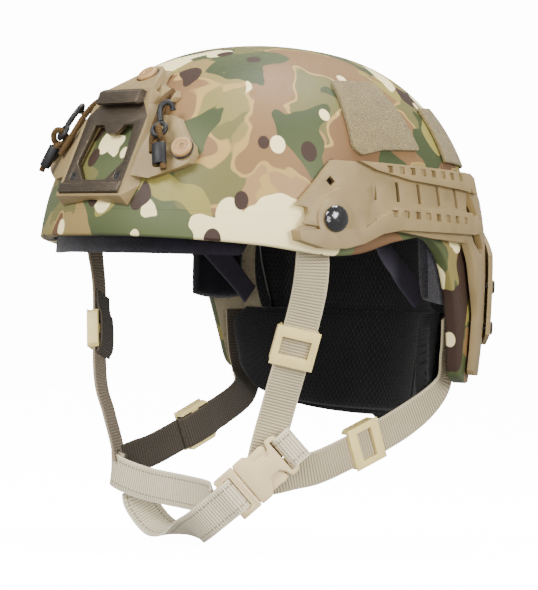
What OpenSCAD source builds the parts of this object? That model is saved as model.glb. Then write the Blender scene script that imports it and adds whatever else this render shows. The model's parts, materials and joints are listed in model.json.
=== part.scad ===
// Combat helmet with side rails, front device shroud, padded liner, nape fit system and chin strap.
// The wearer faces -Y and the left side is +X. The origin lies on the head axis in the brim plane.

/* [Shell] */
// Head axis to the front of the shell, at the brim
shell_front = 141.5; // [130:0.5:148]
// Head axis to the back of the shell
shell_rear = 125.5; // [118:0.5:136]
// Half of the shell's width
shell_half_w = 117; // [110:0.5:126]
// Height of the crown above the brim
crown_h = 123; // [116:0.5:136]
// Level of the widest section
waist_z = -24.5; // [-30:0.5:-16]
// Squareness of the shell in plan
plan_power = 2.3; // [2:0.05:2.6]
// Squareness of the shell in height
rise_power = 2.45; // [2.1:0.01:2.8]
// How far the crown sits behind the head axis, less than nothing when it sits before it
crown_lean = -1.6; // [-4:0.2:4]
// Draw-in of the front at the crown's height, as a share of its length
front_draw = 0.085; // [0:0.005:0.12]
// Draw-in of the sides 60 mm below the waist, as a share of the width
low_draw = 0.03; // [0:0.005:0.05]
// Wall of the ballistic shell
shell_wall = 8; // [6:0.5:10]
// Depth of the rear hem below the brim
hem_drop = 74; // [60:1:84]
// Height of the ear cut above the brim
ear_rise = 9.8; // [6:0.5:14]
// Dip of the brim at the temple
temple_dip = 4.8; // [0:0.2:8]

/* [Shroud] */
// Height of the shroud's middle above the brim
shroud_z = 55; // [52:0.5:58]
// Backward tilt of the device plate
shroud_tilt = 22.5; // [20:0.5:24]
// Distance of the device plate's face from the shell
shroud_stand = 4.4; // [4:0.1:6]
// Half width of the frame's face at its foot
frame_half_w = 29; // [28.5:0.5:32]
// How much wider the frame is at the shell
frame_flare = 9; // [6:0.5:11]
// Half width of the frame at its top ledge
frame_top_half_w = 21.5; // [21:0.5:25]
// Half length of the frame along its tilt
frame_half_l = 37; // [35:0.5:40]
// Half width of the metal insert at its foot
insert_half_w = 26.5; // [25:0.5:27]
// Half width of the metal insert's upper ledge
ledge_half_w = 18; // [17:0.5:18.5]
// Thickness of the insert's plate
insert_t = 2.8; // [2.4:0.1:3]
// Height of the insert's ledges over its plate
ledge_h = 5; // [3:0.1:6]
// Gap between the insert and its pocket
insert_gap = 0.2; // [0.1:0.05:0.4]
// Half width of the window in the insert
window_half_w = 20.5; // [17:0.5:21]
// Thickness of the side wings and the upper arm
wing_t = 6; // [5:0.1:7]
// Sideways distance of the side bolts
side_bolt_x = 54; // [52:0.5:56]
// Height of the side bolts
side_bolt_z = 49; // [47:0.5:51]
// Height of the upper bolt
top_bolt_z = 92; // [91:0.5:94]
// Diameter of the bolt heads
bolt_head_d = 12.6; // [11:0.2:13]
// Height of the bolt heads
bolt_head_h = 2.4; // [2:0.1:3]
// Diameter of the bolt shanks
bolt_d = 6; // [5:0.5:7]
// Gap round every bolt shank
bolt_gap = 0.15; // [0.1:0.05:0.3]
// Diameter of the small screws in the insert
screw_d = 5; // [4:0.1:6]
// Diameter of the bungee cord
bungee_d = 3.6; // [3.2:0.1:3.8]
// Diameter of the shrink sleeve
sleeve_d = 8.6; // [8.4:0.1:9]

/* [Rails] */
// Gap between rail and shell
rail_gap = 2; // [1.5:0.1:3]
// Thickness of the rail's plate
rail_plate_t = 3.5; // [3:0.1:5]
// Height of the rail's ribs over its plate
rail_rib_t = 3.5; // [2:0.1:4.5]
// Top edge of the rail
rail_top_z = 51; // [49:0.5:53]
// Lower edge of the upper rib
rib_low_z = 42; // [40:0.5:44]
// Top edge of the lower rib
low_rib_z = 27; // [25:0.5:29]
// Lower edge of the lower rib
rail_low_z = 10.5; // [9:0.5:12]
// Number of slots between the ribs
slot_count = 5; // [3:1:5]
// Spacing of the slots
slot_pitch = 17.2; // [15:0.2:17.4]
// Width of a slot
slot_w = 2.6; // [2:0.1:3.4]
// Height of a slot
slot_h = 11.5; // [9:0.5:12]
// Number of notches in a rib
notch_count = 8; // [4:1:8]
// Spacing of the notches
notch_pitch = 8.8; // [8:0.1:9]
// Side of a notch
notch_w = 4.2; // [3:0.1:5]
// Height of the rail's front bolt
rail_bolt_z = 16; // [14:0.5:18]
// Front to back place of the rail's front bolt
rail_bolt_y = -55; // [-58:0.5:-52]
// Diameter of the domed bolt head
dome_d = 15.5; // [14:0.5:17]
// Height of the domed bolt head
dome_h = 4.5; // [3.5:0.1:5.5]
// Angle between the side and the front edge of the rail's leg
leg_from = 30; // [28:0.5:32]
// Angle between the side and the rear edge of the rail's leg
leg_to = 46; // [43:0.5:48]
// Lower end of the rail's leg
leg_low_z = -69; // [-71:0.5:-62]
// Diameter of the rubber bumpers under the leg
bumper_d = 5; // [4:0.5:6]

/* [Rear plate] */
// Thickness of the plate across the back
rear_plate_t = 3; // [2.5:0.1:4]
// Upper edge of the plate
rear_plate_top = 20; // [14:1:24]
// Lower edge of the plate
rear_plate_low = -50; // [-56:1:-44]
// Thickness of the loop panel on the plate
rear_panel_t = 2; // [1.5:0.1:2.5]

/* [Loop patches] */
// Thickness of the loop patches
patch_t = 2.6; // [1.5:0.1:3]

/* [Liner] */
// Thickness of the comfort pads
pad_t = 18; // [14:0.5:20]
// Gap between soft pieces and what they lie on
soft_gap = 0.3; // [0.2:0.05:0.6]
// Diameter of the hook discs that hold the pads
disc_d = 18; // [14:1:19]
// Thickness of the hook discs
disc_t = 1.2; // [1:0.1:1.5]

/* [Nape fit system] */
// Half width of the nape pad's hollow
nape_half_w = 86; // [84:0.5:88]
// Head axis to the hollow's back
nape_rear = 97; // [95:0.5:99]
// Thickness of the nape pad
nape_t = 10; // [8:0.5:10.5]
// Forward tilt of the nape pad
nape_tilt = 6.3; // [4:0.1:8]
// Top of the nape pad
nape_top_z = -31; // [-34:0.5:-30]
// Bottom of the nape pad
nape_low_z = -95; // [-98:0.5:-92]
// Thickness of the moulded carrier
carrier_t = 2; // [1.6:0.1:2.2]
// Diameter of the dial
dial_d = 24; // [20:0.5:25]
// Height of the dial's middle below the brim
dial_drop = 86; // [84:0.5:88]
// Thickness of the dial's housing
dial_case_t = 3.6; // [3:0.1:4]
// Thickness of the dial's knob
dial_knob_t = 5; // [4:0.1:5.5]
// Diameter of the dial's spindle
spindle_d = 5; // [4:0.5:6]
// Diameter of the fit lace
lace_d = 2; // [1.6:0.1:2.4]
// Width of the harness bands
band_w = 14; // [10:0.5:16]

/* [Straps] */
// Width of the webbing
web_w = 20; // [18:0.5:21]
// Thickness of the webbing
web_t = 1.6; // [1.2:0.1:1.8]
// Gap between the webbing and its sliders
web_gap = 0.35; // [0.3:0.05:0.5]
// Outer width of a slider
slider_w = 25.4; // [25:0.1:28]
// Length of a slider along its strap
slider_l = 23.6; // [22:0.1:26]
// Thickness of a slider's bars
slider_bar = 2.4; // [2:0.1:3]
// Width of the buckle
buckle_w = 28; // [26:0.5:30]
// Length of the buckle's socket
socket_l = 31; // [29:0.5:33]
// Thickness of the buckle
buckle_t = 9; // [8:0.5:10]
// Wall of the buckle's socket
socket_wall = 1.8; // [1.5:0.1:2.2]
// Running gap between the prong and its socket
prong_gap = 0.3; // [0.25:0.05:0.4]
// Diameter of the strap anchor washers
anchor_d = 14; // [12:0.5:16]

/* [Hidden] */
$fn = 64;

// Colours as the photograph shows them
camo_green = "#6f7448";
tan_polymer = "#a8977a";
bronze = "#4c433b";
cord_brown = "#9a7440";
black_plastic = "#1b1b1d";
grey_shrink = "#3c4048";
loop_sand = "#a39a72";
felt_black = "#17181c";
band_blue = "#2c2e3e";
webbing_tan = "#b3ab97";
buckle_tan = "#cbb99d";

// Curve helpers
function spow(v, k) = sign(v) * pow(abs(v), k);
function mid(p) = [for (i = [0:2]) (max([for (q = p) q[i]]) + min([for (q = p) q[i]])) / 2];
function unit(v) = v / norm(v);
function mix(a, b, s) = a + (b - a) * s;
function find(p, x, i = 0) = i >= len(p) - 2 || x < p[i + 1][0] ? i : find(p, x, i + 1);
function slope(p, i) =
  i == 0 || i == len(p) - 1 ? 0 : (p[i + 1][1] - p[i - 1][1]) / (p[i + 1][0] - p[i - 1][0]);
// Smooth curve through the points of p, at x
function smooth(p, x) =
  let (i = find(p, x), h = p[i + 1][0] - p[i][0], s = min(1, max(0, (x - p[i][0]) / h)))
  (2 * s * s * s - 3 * s * s + 1) * p[i][1] + (s * s * s - 2 * s * s + s) * h * slope(p, i)
  + (3 * s * s - 2 * s * s * s) * p[i + 1][1] + (s * s * s - s * s) * h * slope(p, i + 1);

// Surface of the shell: t is the angle from the front towards +X, d the offset outwards
function rise(z, d = 0) =
  z > waist_z
  ? pow(cos(asin(pow(min(1, (z - waist_z) / (crown_h + d - waist_z)), rise_power / 2))), 2 / rise_power)
  : 1 - low_draw * pow((waist_z - z) / 60, 2);
function lean(z) = crown_lean * z / crown_h;
function half_l(front, d, z) =
  (front ? shell_front * (1 - front_draw * pow(max(0, z) / crown_h, 1.4)) : shell_rear) + d;
function shell_at(t, z, d = 0) =
  let (s = rise(z, d), k = 2 / plan_power)
  [(shell_half_w + d) * spow(sin(t), k) * s, -half_l(cos(t) > 0, d, z) * spow(cos(t), k) * s + lean(z), z];
function side_x(y, z, d = 0) =
  let (s = rise(z, d), q = abs(y - lean(z)) / (half_l(y < lean(z), d, z) * s))
  (shell_half_w + d) * s * pow(max(0, 1 - pow(q, plan_power)), 1 / plan_power);
function front_y(z, d = 0) = -half_l(true, d, z) * rise(z, d) + lean(z);
function rear_y(z, d = 0) = (shell_rear + d) * rise(z, d) + lean(z);
function top_z(x, y, d = 0, guess = crown_h * 0.9, turns = 3) =
  let (yy = y - crown_lean,
       s = pow(pow(abs(x) / (shell_half_w + d), plan_power)
               + pow(abs(yy) / half_l(yy < 0, d, guess), plan_power), 1 / plan_power),
       z = waist_z + (crown_h + d - waist_z) * pow(max(0, 1 - pow(s, rise_power)), 1 / rise_power))
  turns == 0 ? z : top_z(x, y, d, z, turns - 1);

// Closed skin over rings of points, with a pole at each end
module skin(start, rings, end) {
  n = len(rings[0]);
  m = len(rings);
  points = concat([start], [for (r = rings) each r], [end]);
  last = n * m + 1;
  faces = concat(
    [for (i = [0:n - 1]) [0, 1 + i, 1 + (i + 1) % n]],
    [for (k = [0:m - 2], i = [0:n - 1])
      let (a = 1 + k * n + i, b = 1 + k * n + (i + 1) % n)
      each [[a, a + n, b], [b, a + n, b + n]]],
    [for (i = [0:n - 1]) let (a = 1 + (m - 1) * n) [last, a + (i + 1) % n, a + i]]);
  polyhedron(points = points, faces = faces, convexity = 8);
}
module tube(rings) skin(mid(rings[0]), rings, mid(rings[len(rings) - 1]));

// Rim of the shell over the angle from the front
rim = [[0, 1], [30, 0.4], [52, -1.2], [64, -3.6], [72, -temple_dip], [80, -2], [88, ear_rise * 0.55],
       [93, ear_rise * 0.92], [97, ear_rise], [101, ear_rise * 0.65], [105.5, -3], [108.5, -15], [111.5, -31],
       [114.5, -51], [117, 7 - hem_drop], [120.5, 2 - hem_drop], [127, -hem_drop], [180, 1 - hem_drop]];
function rim_z(t) = smooth(rim, t > 180 ? 360 - t : t);
half_columns =
  concat([for (t = [0:6:96]) t], [for (t = [98:1.25:121]) t], [for (t = [126:6.5:176]) t], [180]);
columns = concat(half_columns, [for (i = [len(half_columns) - 2:-1:1]) 360 - half_columns[i]]);
rows = 15;
low_rate = 0.5;
function fall(z, d) =
  z >= waist_z
  ? 90 - asin(pow(min(1, (z - waist_z) / (crown_h + d - waist_z)), rise_power / 2))
  : 90 + (waist_z - z) * low_rate;
function fall_z(a, d) =
  a <= 90
  ? waist_z + (crown_h + d - waist_z) * pow(sin(90 - a), 2 / rise_power)
  : waist_z - (a - 90) / low_rate;
function shell_row(k, d) =
  [for (t = columns) shell_at(t, fall_z(fall(rim_z(t), d) * k / rows, d), d)];

module shell() {
  color(camo_green)
  skin([0, crown_lean, crown_h],
       concat([for (k = [1:rows]) shell_row(k, 0)], [for (k = [rows:-1:1]) shell_row(k, -shell_wall)]),
       [0, crown_lean * (crown_h - shell_wall) / crown_h, crown_h - shell_wall]);
}

// Upright arc that follows the shell's front
front_edge_x = 56;
front_ref_z = 50;
front_side_y = -half_l(true, 0, front_ref_z) * rise(front_ref_z)
  * pow(1 - pow(front_edge_x / (shell_half_w * rise(front_ref_z)), plan_power), 1 / plan_power)
  + lean(front_ref_z);
front_c = (pow(front_y(front_ref_z), 2) - pow(front_edge_x, 2) - pow(front_side_y, 2))
  / (2 * (front_y(front_ref_z) - front_side_y));
function front_r(z, d = 0) = front_c - front_y(z) + d;
module front_band(d0, d1, z0, z1) {
  step = (z1 - z0) / 16;
  translate([0, front_c, 0]) rotate([0, 0, -150]) rotate_extrude(angle = 120)
  polygon(concat([for (z = [z0:step:z1 + 0.01]) [front_r(z, d1), z]],
                 [for (z = [z1:-step:z0 - 0.01]) [front_r(z, d0), z]]));
}
module front_fill(d, z0, z1) {
  step = (z1 - z0) / 24;
  translate([0, front_c, 0]) rotate_extrude()
  polygon(concat([[0, z0]], [for (z = [z0:step:z1 + 0.01]) [front_r(z, d), z]], [[0, z1]]));
}
// Puts things on the shell's front with +Z along its normal
function front_lift(z) = atan((front_r(z - 1) - front_r(z + 1)) / 2);
module front_station(x, z, d = 0) {
  translate([0, front_c, z]) rotate([0, 0, asin(x / front_r(z))]) translate([0, -front_r(z), 0])
  rotate([90 - front_lift(z), 0, 0]) translate([0, 0, d]) children();
}
// Device plate's frame: X across, Y up the plate, Z out of it
shroud_y = front_y(shroud_z) - shroud_stand;
module plate_frame() translate([0, shroud_y, shroud_z]) rotate([90 - shroud_tilt, 0, 0]) children();
module mirrored() {
  children();
  mirror([1, 0, 0]) children();
}
module bolt_stations(d = 0) {
  mirrored() front_station(side_bolt_x, side_bolt_z, d) children();
  front_station(0, top_bolt_z, d) children();
}

seat = 0.3;
// The shell stands up to this much proud of the arc that the frame follows
front_bulge = 0.95;
frame_seat = seat + front_bulge;
frame_foot = -frame_half_l - 1.5;
face_foot = -frame_half_l + 3;
face_top = frame_half_l - 1.5;
insert_foot = -frame_half_l + 4.6;
insert_top = frame_half_l - 4;
module insert_outline(grow = 0) {
  w = insert_half_w + grow;
  l = ledge_half_w + grow;
  polygon([[-w, insert_foot - grow], [w, insert_foot - grow], [w, insert_top - 16], [l + 1, insert_top - 7],
           [l, insert_top + grow], [-l, insert_top + grow], [-l - 1, insert_top - 7], [-w, insert_top - 16]]);
}
module face_outline() {
  w = frame_half_w;
  t = frame_top_half_w;
  polygon([[-w, face_foot], [w, face_foot], [w, 11], [t + 3, face_top - 12], [t, face_top],
           [-t, face_top], [-t - 3, face_top - 12], [-w, 11]]);
}
module back_outline() {
  w = frame_half_w;
  f = w + frame_flare;
  t = frame_top_half_w + 1.5;
  polygon([[-w, frame_foot], [w, frame_foot], [f, -15], [f - 2, 4], [w, 20], [t, face_top - 2],
           [-t, face_top - 2], [-w, 20], [-f + 2, 4], [-f, -15]]);
}
// Window of the insert, grown for the opening in the frame behind it
module window_outline(grow = 0) {
  w = window_half_w + grow;
  polygon([[-w / 2, insert_foot + 8.7 - grow], [w / 2, insert_foot + 8.7 - grow], [w, insert_foot + 20],
           [w - 3, 12 + grow], [-w + 3, 12 + grow], [-w, insert_foot + 20]]);
}
tongue = [[-9, 13], [-9, 12], [-7, 9], [-3.2, 6], [3.2, 6], [7, 9], [9, 12], [9, 13]];
wing = [[26, 36], [42, 34], [49.5, 37], [57.6, 40.4], [62, 43.2], [62.2, 48.2], [59.6, 52.8], [55.5, 56.4],
        [43, 69.2], [37, 71.4], [26, 71.4]];
arm_low = shroud_z + (frame_half_l - 10) * cos(shroud_tilt);
arm = [[-31, arm_low], [31, arm_low], [31.5, arm_low + 3], [28, arm_low + 6.6], [18, arm_low + 9], [12.5, 91.5],
       [9.5, 95.5], [8.5, 98.5], [6, 100.5], [-6, 100.5], [-8.5, 98.5], [-9.5, 95.5], [-12.5, 91.5],
       [-18, arm_low + 9], [-28, arm_low + 6.6], [-31.5, arm_low + 3]];
// Width of the notch that each cord leaves through
notch_from = 24;
notch_to = notch_from + bungee_d + 0.8;
module frame_body() {
  difference() {
    union() {
      plate_frame() hull() {
        translate([0, 0, -1]) linear_extrude(1) face_outline();
        translate([0, 0, -45]) linear_extrude(31) back_outline();
      }
      // Ramp from the top ledge down to the upper bolt
      hull() {
        plate_frame() translate([-frame_top_half_w + 1, face_top - 1.5, -4])
          cube([2 * frame_top_half_w - 2, 1, 3.6]);
        front_station(0, top_bolt_z + 1, frame_seat) rotate([0, 0, 22.5])
          cylinder(d = 18, h = wing_t - frame_seat, $fn = 8);
      }
    }
    front_fill(frame_seat, -2, 116);
    plate_frame() translate([0, frame_foot - 56, -60]) cylinder(r = 60, h = 80, $fn = 128);
  }
}
module shroud_frame() {
  color(tan_polymer)
  difference() {
    union() {
      frame_body();
      mirrored() intersection() {
        front_band(frame_seat, wing_t, 30, 84);
        translate([0, -40, 0]) rotate([90, 0, 0]) linear_extrude(110) polygon(wing);
      }
      intersection() {
        front_band(frame_seat, wing_t, 76, 112);
        translate([0, -20, 0]) rotate([90, 0, 0]) linear_extrude(130) polygon(arm);
      }
    }
    plate_frame() translate([0, 0, -insert_t]) linear_extrude(20) insert_outline(insert_gap);
    plate_frame() translate([0, 0, -50]) linear_extrude(52) window_outline(1);
    mirrored() translate([notch_from, -150, arm_low - 2]) cube([notch_to - notch_from, 110, 6.4]);
    bolt_stations(-6) cylinder(d = bolt_d + 2 * bolt_gap, h = 30);
    bolt_stations(wing_t) cylinder(d = bolt_head_d + 2.4, h = 30);
  }
}

screw_sink = 1.4;
screw_x = insert_half_w - 6.9;
screw_v = insert_foot + 11.2;
module shroud_insert() {
  color(bronze)
  plate_frame() difference() {
    union() {
      translate([0, 0, -insert_t]) linear_extrude(insert_t) insert_outline();
      rotate([90, 0, 90]) translate([0, 0, -insert_half_w]) linear_extrude(2 * insert_half_w)
        polygon([[insert_foot, 0], [insert_foot + 7.4, 0], [insert_foot + 5.6, 2], [insert_foot + 0.6, 2]]);
      rotate([90, 0, 90]) translate([0, 0, -ledge_half_w]) linear_extrude(2 * ledge_half_w)
        polygon([[insert_top - 7, 0], [insert_top, 0], [insert_top, ledge_h - 1.5], [insert_top - 2, ledge_h],
                 [insert_top - 9.4, ledge_h], [insert_top - 9.4, ledge_h - 2.4]]);
    }
    translate([0, 0, -20]) linear_extrude(40) difference() {
      window_outline();
      polygon(tongue);
    }
    // Undercut below the upper ledge, where a device plate hooks in
    rotate([90, 0, 90]) translate([0, 0, -insert_half_w]) linear_extrude(2 * insert_half_w)
      polygon([[insert_top - 9.8, -0.9], [insert_top - 7, -0.9], [insert_top - 7, 0], [insert_top - 9.8, 0.6]]);
    for (side = [-1, 1]) translate([side * screw_x, screw_v, 0]) {
      translate([0, 0, -insert_t - 1]) cylinder(d = screw_d - 2, h = insert_t + 2);
      translate([0, 0, -screw_sink]) cylinder(d = screw_d + 2 * bolt_gap, h = 5);
    }
  }
}

module insert_screws() {
  color(black_plastic)
  plate_frame() for (side = [-1, 1]) translate([side * screw_x, screw_v, -screw_sink]) {
    difference() {
      cylinder(d = screw_d, h = screw_sink - 0.2);
      translate([0, 0, 0.5]) cylinder(d = screw_d / 2, h = 2, $fn = 6);
    }
    translate([0, 0, screw_sink - insert_t])
      cylinder(d = screw_d - 2 - 2 * bolt_gap, h = insert_t - screw_sink + 0.05);
  }
}

washer_t = 1;
nut_t = 3;
module shroud_washers() {
  color(black_plastic)
  bolt_stations(wing_t) difference() {
    cylinder(d = bolt_head_d + 1.2, h = washer_t);
    translate([0, 0, -1]) cylinder(d = bolt_d + 2 * bolt_gap, h = 5);
  }
}
module shroud_bolts() {
  color(tan_polymer)
  bolt_stations(wing_t + washer_t) {
    difference() {
      union() {
        cylinder(d = bolt_head_d, h = bolt_head_h - 0.8);
        translate([0, 0, bolt_head_h - 0.8]) cylinder(d1 = bolt_head_d, d2 = bolt_head_d - 2, h = 0.8);
      }
      translate([0, 0, bolt_head_h - 1.2]) cylinder(d = 4, h = 3, $fn = 6);
    }
    translate([0, 0, -wing_t - washer_t + seat]) cylinder(d = bolt_d, h = wing_t + washer_t - seat);
  }
}
module shroud_nuts() {
  color(black_plastic)
  bolt_stations(-shell_wall - nut_t - 2) {
    cylinder(d = 12, h = nut_t);
    translate([0, 0, nut_t]) cylinder(d = 6, h = 0.6);
  }
}

// Elastic cord from the notch beside the ledge down into the wing, and its end looped through the hook's eye
function ring_at(c, along, r, n) =
  let (a = unit(along), u = unit(cross(a, abs(a[2]) > 0.9 ? [0, 1, 0] : [0, 0, 1])), w = cross(a, u))
  [for (i = [0:n - 1]) c + r * (cos(360 * i / n) * u + sin(360 * i / n) * w)];
function cord_rings(path, r, n) =
  [for (i = [0:len(path) - 1])
    ring_at(path[i], path[min(len(path) - 1, i + 1)] - path[max(0, i - 1)], r, n)];
module cord(path, d, n) tube(cord_rings(path, d / 2, n));

function on_front(x, z, d) =
  let (a = asin(x / front_r(z)), l = front_lift(z), r = front_r(z) + d * cos(l))
  [r * sin(a), front_c - r * cos(a), z + d * sin(l)];
function laid(route) = [for (p = route) on_front(p[0], p[1], p[2])];
bungee_route = [[28, 80.2, 6.7], [28, 78.6, 7.3], [28.9, 75, 8.2], [30.8, 70.5, 8.6],
                [32.2, 66, 8.5], [33.2, 61, 8.4], [34.6, 56.2, 8.3], [36.3, 51.5, 8.2], [38.2, 47.5, 8.1],
                [39, 45.5, 8]];
loop_route = [[46.2, 37, 11.6], [44, 42.4, 11.6], [41.4, 48.8, 11.5], [40.5, 51.2, 9.4], [39.9, 53.6, 8.4],
              [39.7, 55.6, 9.4], [39.8, 56.5, 12], [40.2, 56.7, 14.2], [41.2, 55.9, 15.7], [42.6, 53.8, 15.8],
              [43.8, 51.8, 14], [44.8, 50.2, 11.7], [47.4, 43.8, 11.6], [50, 37.4, 11.6], [50.9, 35.2, 11.4]];
module bungee_left() {
  color(cord_brown) {
    cord(laid(bungee_route), bungee_d, 10);
    cord(laid(loop_route), bungee_d, 10);
  }
}
module bungee_right() mirror([1, 0, 0]) bungee_left();
hook_t = 3.4;
eye_r = 4.1;
hook_route = [[38.8, 60.4, 12.2], [37, 62.8, 12.6], [35.2, 65.6, 12.9], [34, 68.4, 12.9], [34.3, 70.9, 12.4],
              [36, 71.8, 11.6], [38, 71, 10.2], [39, 69.2, 8.4]];
module bungee_hook_left() {
  color(black_plastic) {
    cord(laid(hook_route), hook_t, 12);
    front_station(39.8, 56.5, wing_t + 6) rotate_extrude() translate([eye_r, 0]) circle(d = hook_t - 0.6, $fn = 24);
  }
}
module bungee_hook_right() mirror([1, 0, 0]) bungee_hook_left();
// The sleeve lies on the middle of the loop's two strands and along them
sleeve_top = (laid(loop_route)[1] + laid(loop_route)[12]) / 2;
sleeve_foot = (laid(loop_route)[0] + laid(loop_route)[13]) / 2;
sleeve_out = on_front(47, 40, 12) - on_front(47, 40, 11);
module bungee_sleeve_left() {
  color(grey_shrink)
  multmatrix(facing(sleeve_top, sleeve_out, unit(sleeve_top - sleeve_foot))) rotate([90, 0, 0]) difference() {
    scale([1, 0.7, 1]) cylinder(d = sleeve_d, h = 13.4, center = true, $fn = 128);
    scale([1.85, 1, 1]) cylinder(d = bungee_d + 0.1, h = 20, center = true, $fn = 128);
  }
}
module bungee_sleeve_right() mirror([1, 0, 0]) bungee_sleeve_left();

// Two upright arcs that follow the shell's side, tangent where they meet
side_from_y = -62;
side_split_y = 36;
side_to_y = 92;
function circle_mid(a, b, c) =
  let (d = 2 * (a[0] * (b[1] - c[1]) + b[0] * (c[1] - a[1]) + c[0] * (a[1] - b[1])),
       aa = a * a, bb = b * b, cc = c * c)
  [(aa * (b[1] - c[1]) + bb * (c[1] - a[1]) + cc * (a[1] - b[1])) / d,
   (aa * (c[0] - b[0]) + bb * (a[0] - c[0]) + cc * (b[0] - a[0])) / d];
function side_point(y) = [side_x(y, 0), y];
arc_a_mid = circle_mid(side_point(side_from_y), side_point(-12), side_point(side_split_y));
arc_a_r = norm(side_point(0) - arc_a_mid);
split_turn = asin((side_split_y - arc_a_mid[1]) / arc_a_r);
split_way = [cos(split_turn), sin(split_turn)];
split_at = arc_a_mid + arc_a_r * split_way;
rear_reach = split_at - side_point(side_to_y);
arc_b_r = (rear_reach * rear_reach) / (2 * (rear_reach * split_way));
arc_b_mid = split_at - arc_b_r * split_way;
function side_fall(z) = shell_half_w * (rise(z) - rise(0));
function b_side(y) = y > side_split_y;
function arc_r(b, z, d = 0) = (b ? arc_b_r : arc_a_r) + side_fall(z) + d;
module side_piece(outline, d0, d1, z0, z1, parts = [false, true]) {
  step = (z1 - z0) / 12;
  for (b = parts) {
    c = b ? arc_b_mid : arc_a_mid;
    intersection() {
      translate([c[0], c[1], 0]) rotate([0, 0, -24]) rotate_extrude(angle = 80)
      polygon(concat([for (z = [z0:step:z1 + 0.01]) [arc_r(b, z, d1), z]],
                     [for (z = [z1:-step:z0 - 0.01]) [arc_r(b, z, d0), z]]));
      side_prism(outline);
      translate([0, b ? side_split_y : side_split_y - 300, -100]) cube(300);
    }
  }
}
module side_station(y, z, d = 0) {
  b = b_side(y);
  c = b ? arc_b_mid : arc_a_mid;
  translate([c[0], c[1], z]) rotate([0, 0, asin((y - c[1]) / arc_r(b, z))])
  translate([arc_r(b, z, d), 0, 0]) rotate([90, 0, 90]) children();
}
module leg_station(turn, z, d = 0) {
  translate([arc_b_mid[0], arc_b_mid[1], z]) rotate([0, 0, turn])
  translate([arc_r(true, z, d), 0, 0]) rotate([90, 0, 90]) children();
}
module side_prism(outline) translate([60, 0, 0]) rotate([90, 0, 90]) linear_extrude(90) polygon(outline);

plate_d = rail_gap + rail_plate_t;
boss_h = plate_d + 1.4;
rib_d = plate_d + rail_rib_t;
bar_end_y = 72;
bar = [[-77, 22.5], [-71, 21.5], [-70, 12.5], [-79, 8], [-78, 2.5], [-64, -1], [-50, -0.5], [-38, 3],
       [-24, 9.5], [-10, rail_low_z + 1.5], [20, rail_low_z - 1], [bar_end_y, rail_low_z - 2],
       [bar_end_y, rail_top_z - 2], [66, rail_top_z], [-51, rail_top_z - 1], [-58, 43], [-68, 32]];
upper_rib = [[-36, rail_top_z - 0.5], [66, rail_top_z], [bar_end_y, rail_top_z - 2],
             [bar_end_y, rib_low_z - 3], [2, rib_low_z], [-24, rib_low_z + 4]];
lower_rib = [[-79, 8], [-78, 2.5], [-64, -1], [-50, -0.5], [-38, 3], [-24, 9.5], [-10, rail_low_z + 2],
             [bar_end_y, rail_low_z + 4], [bar_end_y, low_rib_z], [10, low_rib_z], [-12, low_rib_z - 2],
             [-25, 19], [-37, 11], [-67, 9.5]];
front_rise = [[-75, 12], [-36.5, 8], [-33, 25], [-52, 34], [-66, 26]];
notch_from_y = -14;
slot_from_y = -25.2;
leg_mid = (leg_from + leg_to) / 2;
leg_arc = PI * arc_b_r / 180;
leg_front_s = (leg_from - leg_mid) * leg_arc;
leg_back_s = (leg_to - leg_mid) * leg_arc;
leg_outline = [[leg_front_s, leg_low_z + 3], [leg_front_s + 3, leg_low_z], [leg_back_s - 5, leg_low_z],
               [leg_back_s, leg_low_z + 6], [leg_back_s, 22], [leg_back_s - 6, 34], [leg_front_s + 3, 45],
               [leg_front_s - 5, rail_top_z - 1.5], [leg_front_s - 26, rail_top_z - 1.5],
               [leg_front_s - 26, rail_low_z], [leg_front_s - 22, rail_low_z - 1], [leg_front_s - 15, -3],
               [leg_front_s - 10, -17], [leg_front_s - 2, -33]];
leg_window_top = [[leg_front_s - 14, 42], [leg_front_s - 9, 37], [leg_front_s - 1, 27], [leg_front_s - 4, 23],
                  [leg_front_s - 17, 24], [leg_front_s - 20, 28]];
leg_window_low = [[leg_front_s - 16, 15], [leg_front_s + 1, 15], [leg_front_s + 9, 7], [leg_front_s + 8, 3],
                  [leg_front_s - 3, 4], [leg_front_s - 13, 10]];
module leg_band() {
  step = (rail_top_z + 76) / 14;
  translate([arc_b_mid[0], arc_b_mid[1], 0]) rotate([0, 0, 2]) rotate_extrude(angle = 60)
  polygon(concat([for (z = [-72:step:rail_top_z + 4.01]) [arc_r(true, z, plate_d + 0.5), z]],
                 [for (z = [rail_top_z + 4:-step:-72.01]) [arc_r(true, z, rail_gap), z]]));
}
module leg_prism(outline) {
  translate([arc_b_mid[0], arc_b_mid[1], 0]) rotate([0, 0, leg_mid]) translate([60, 0, 0])
  rotate([90, 0, 90]) linear_extrude(80) polygon(outline);
}
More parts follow.
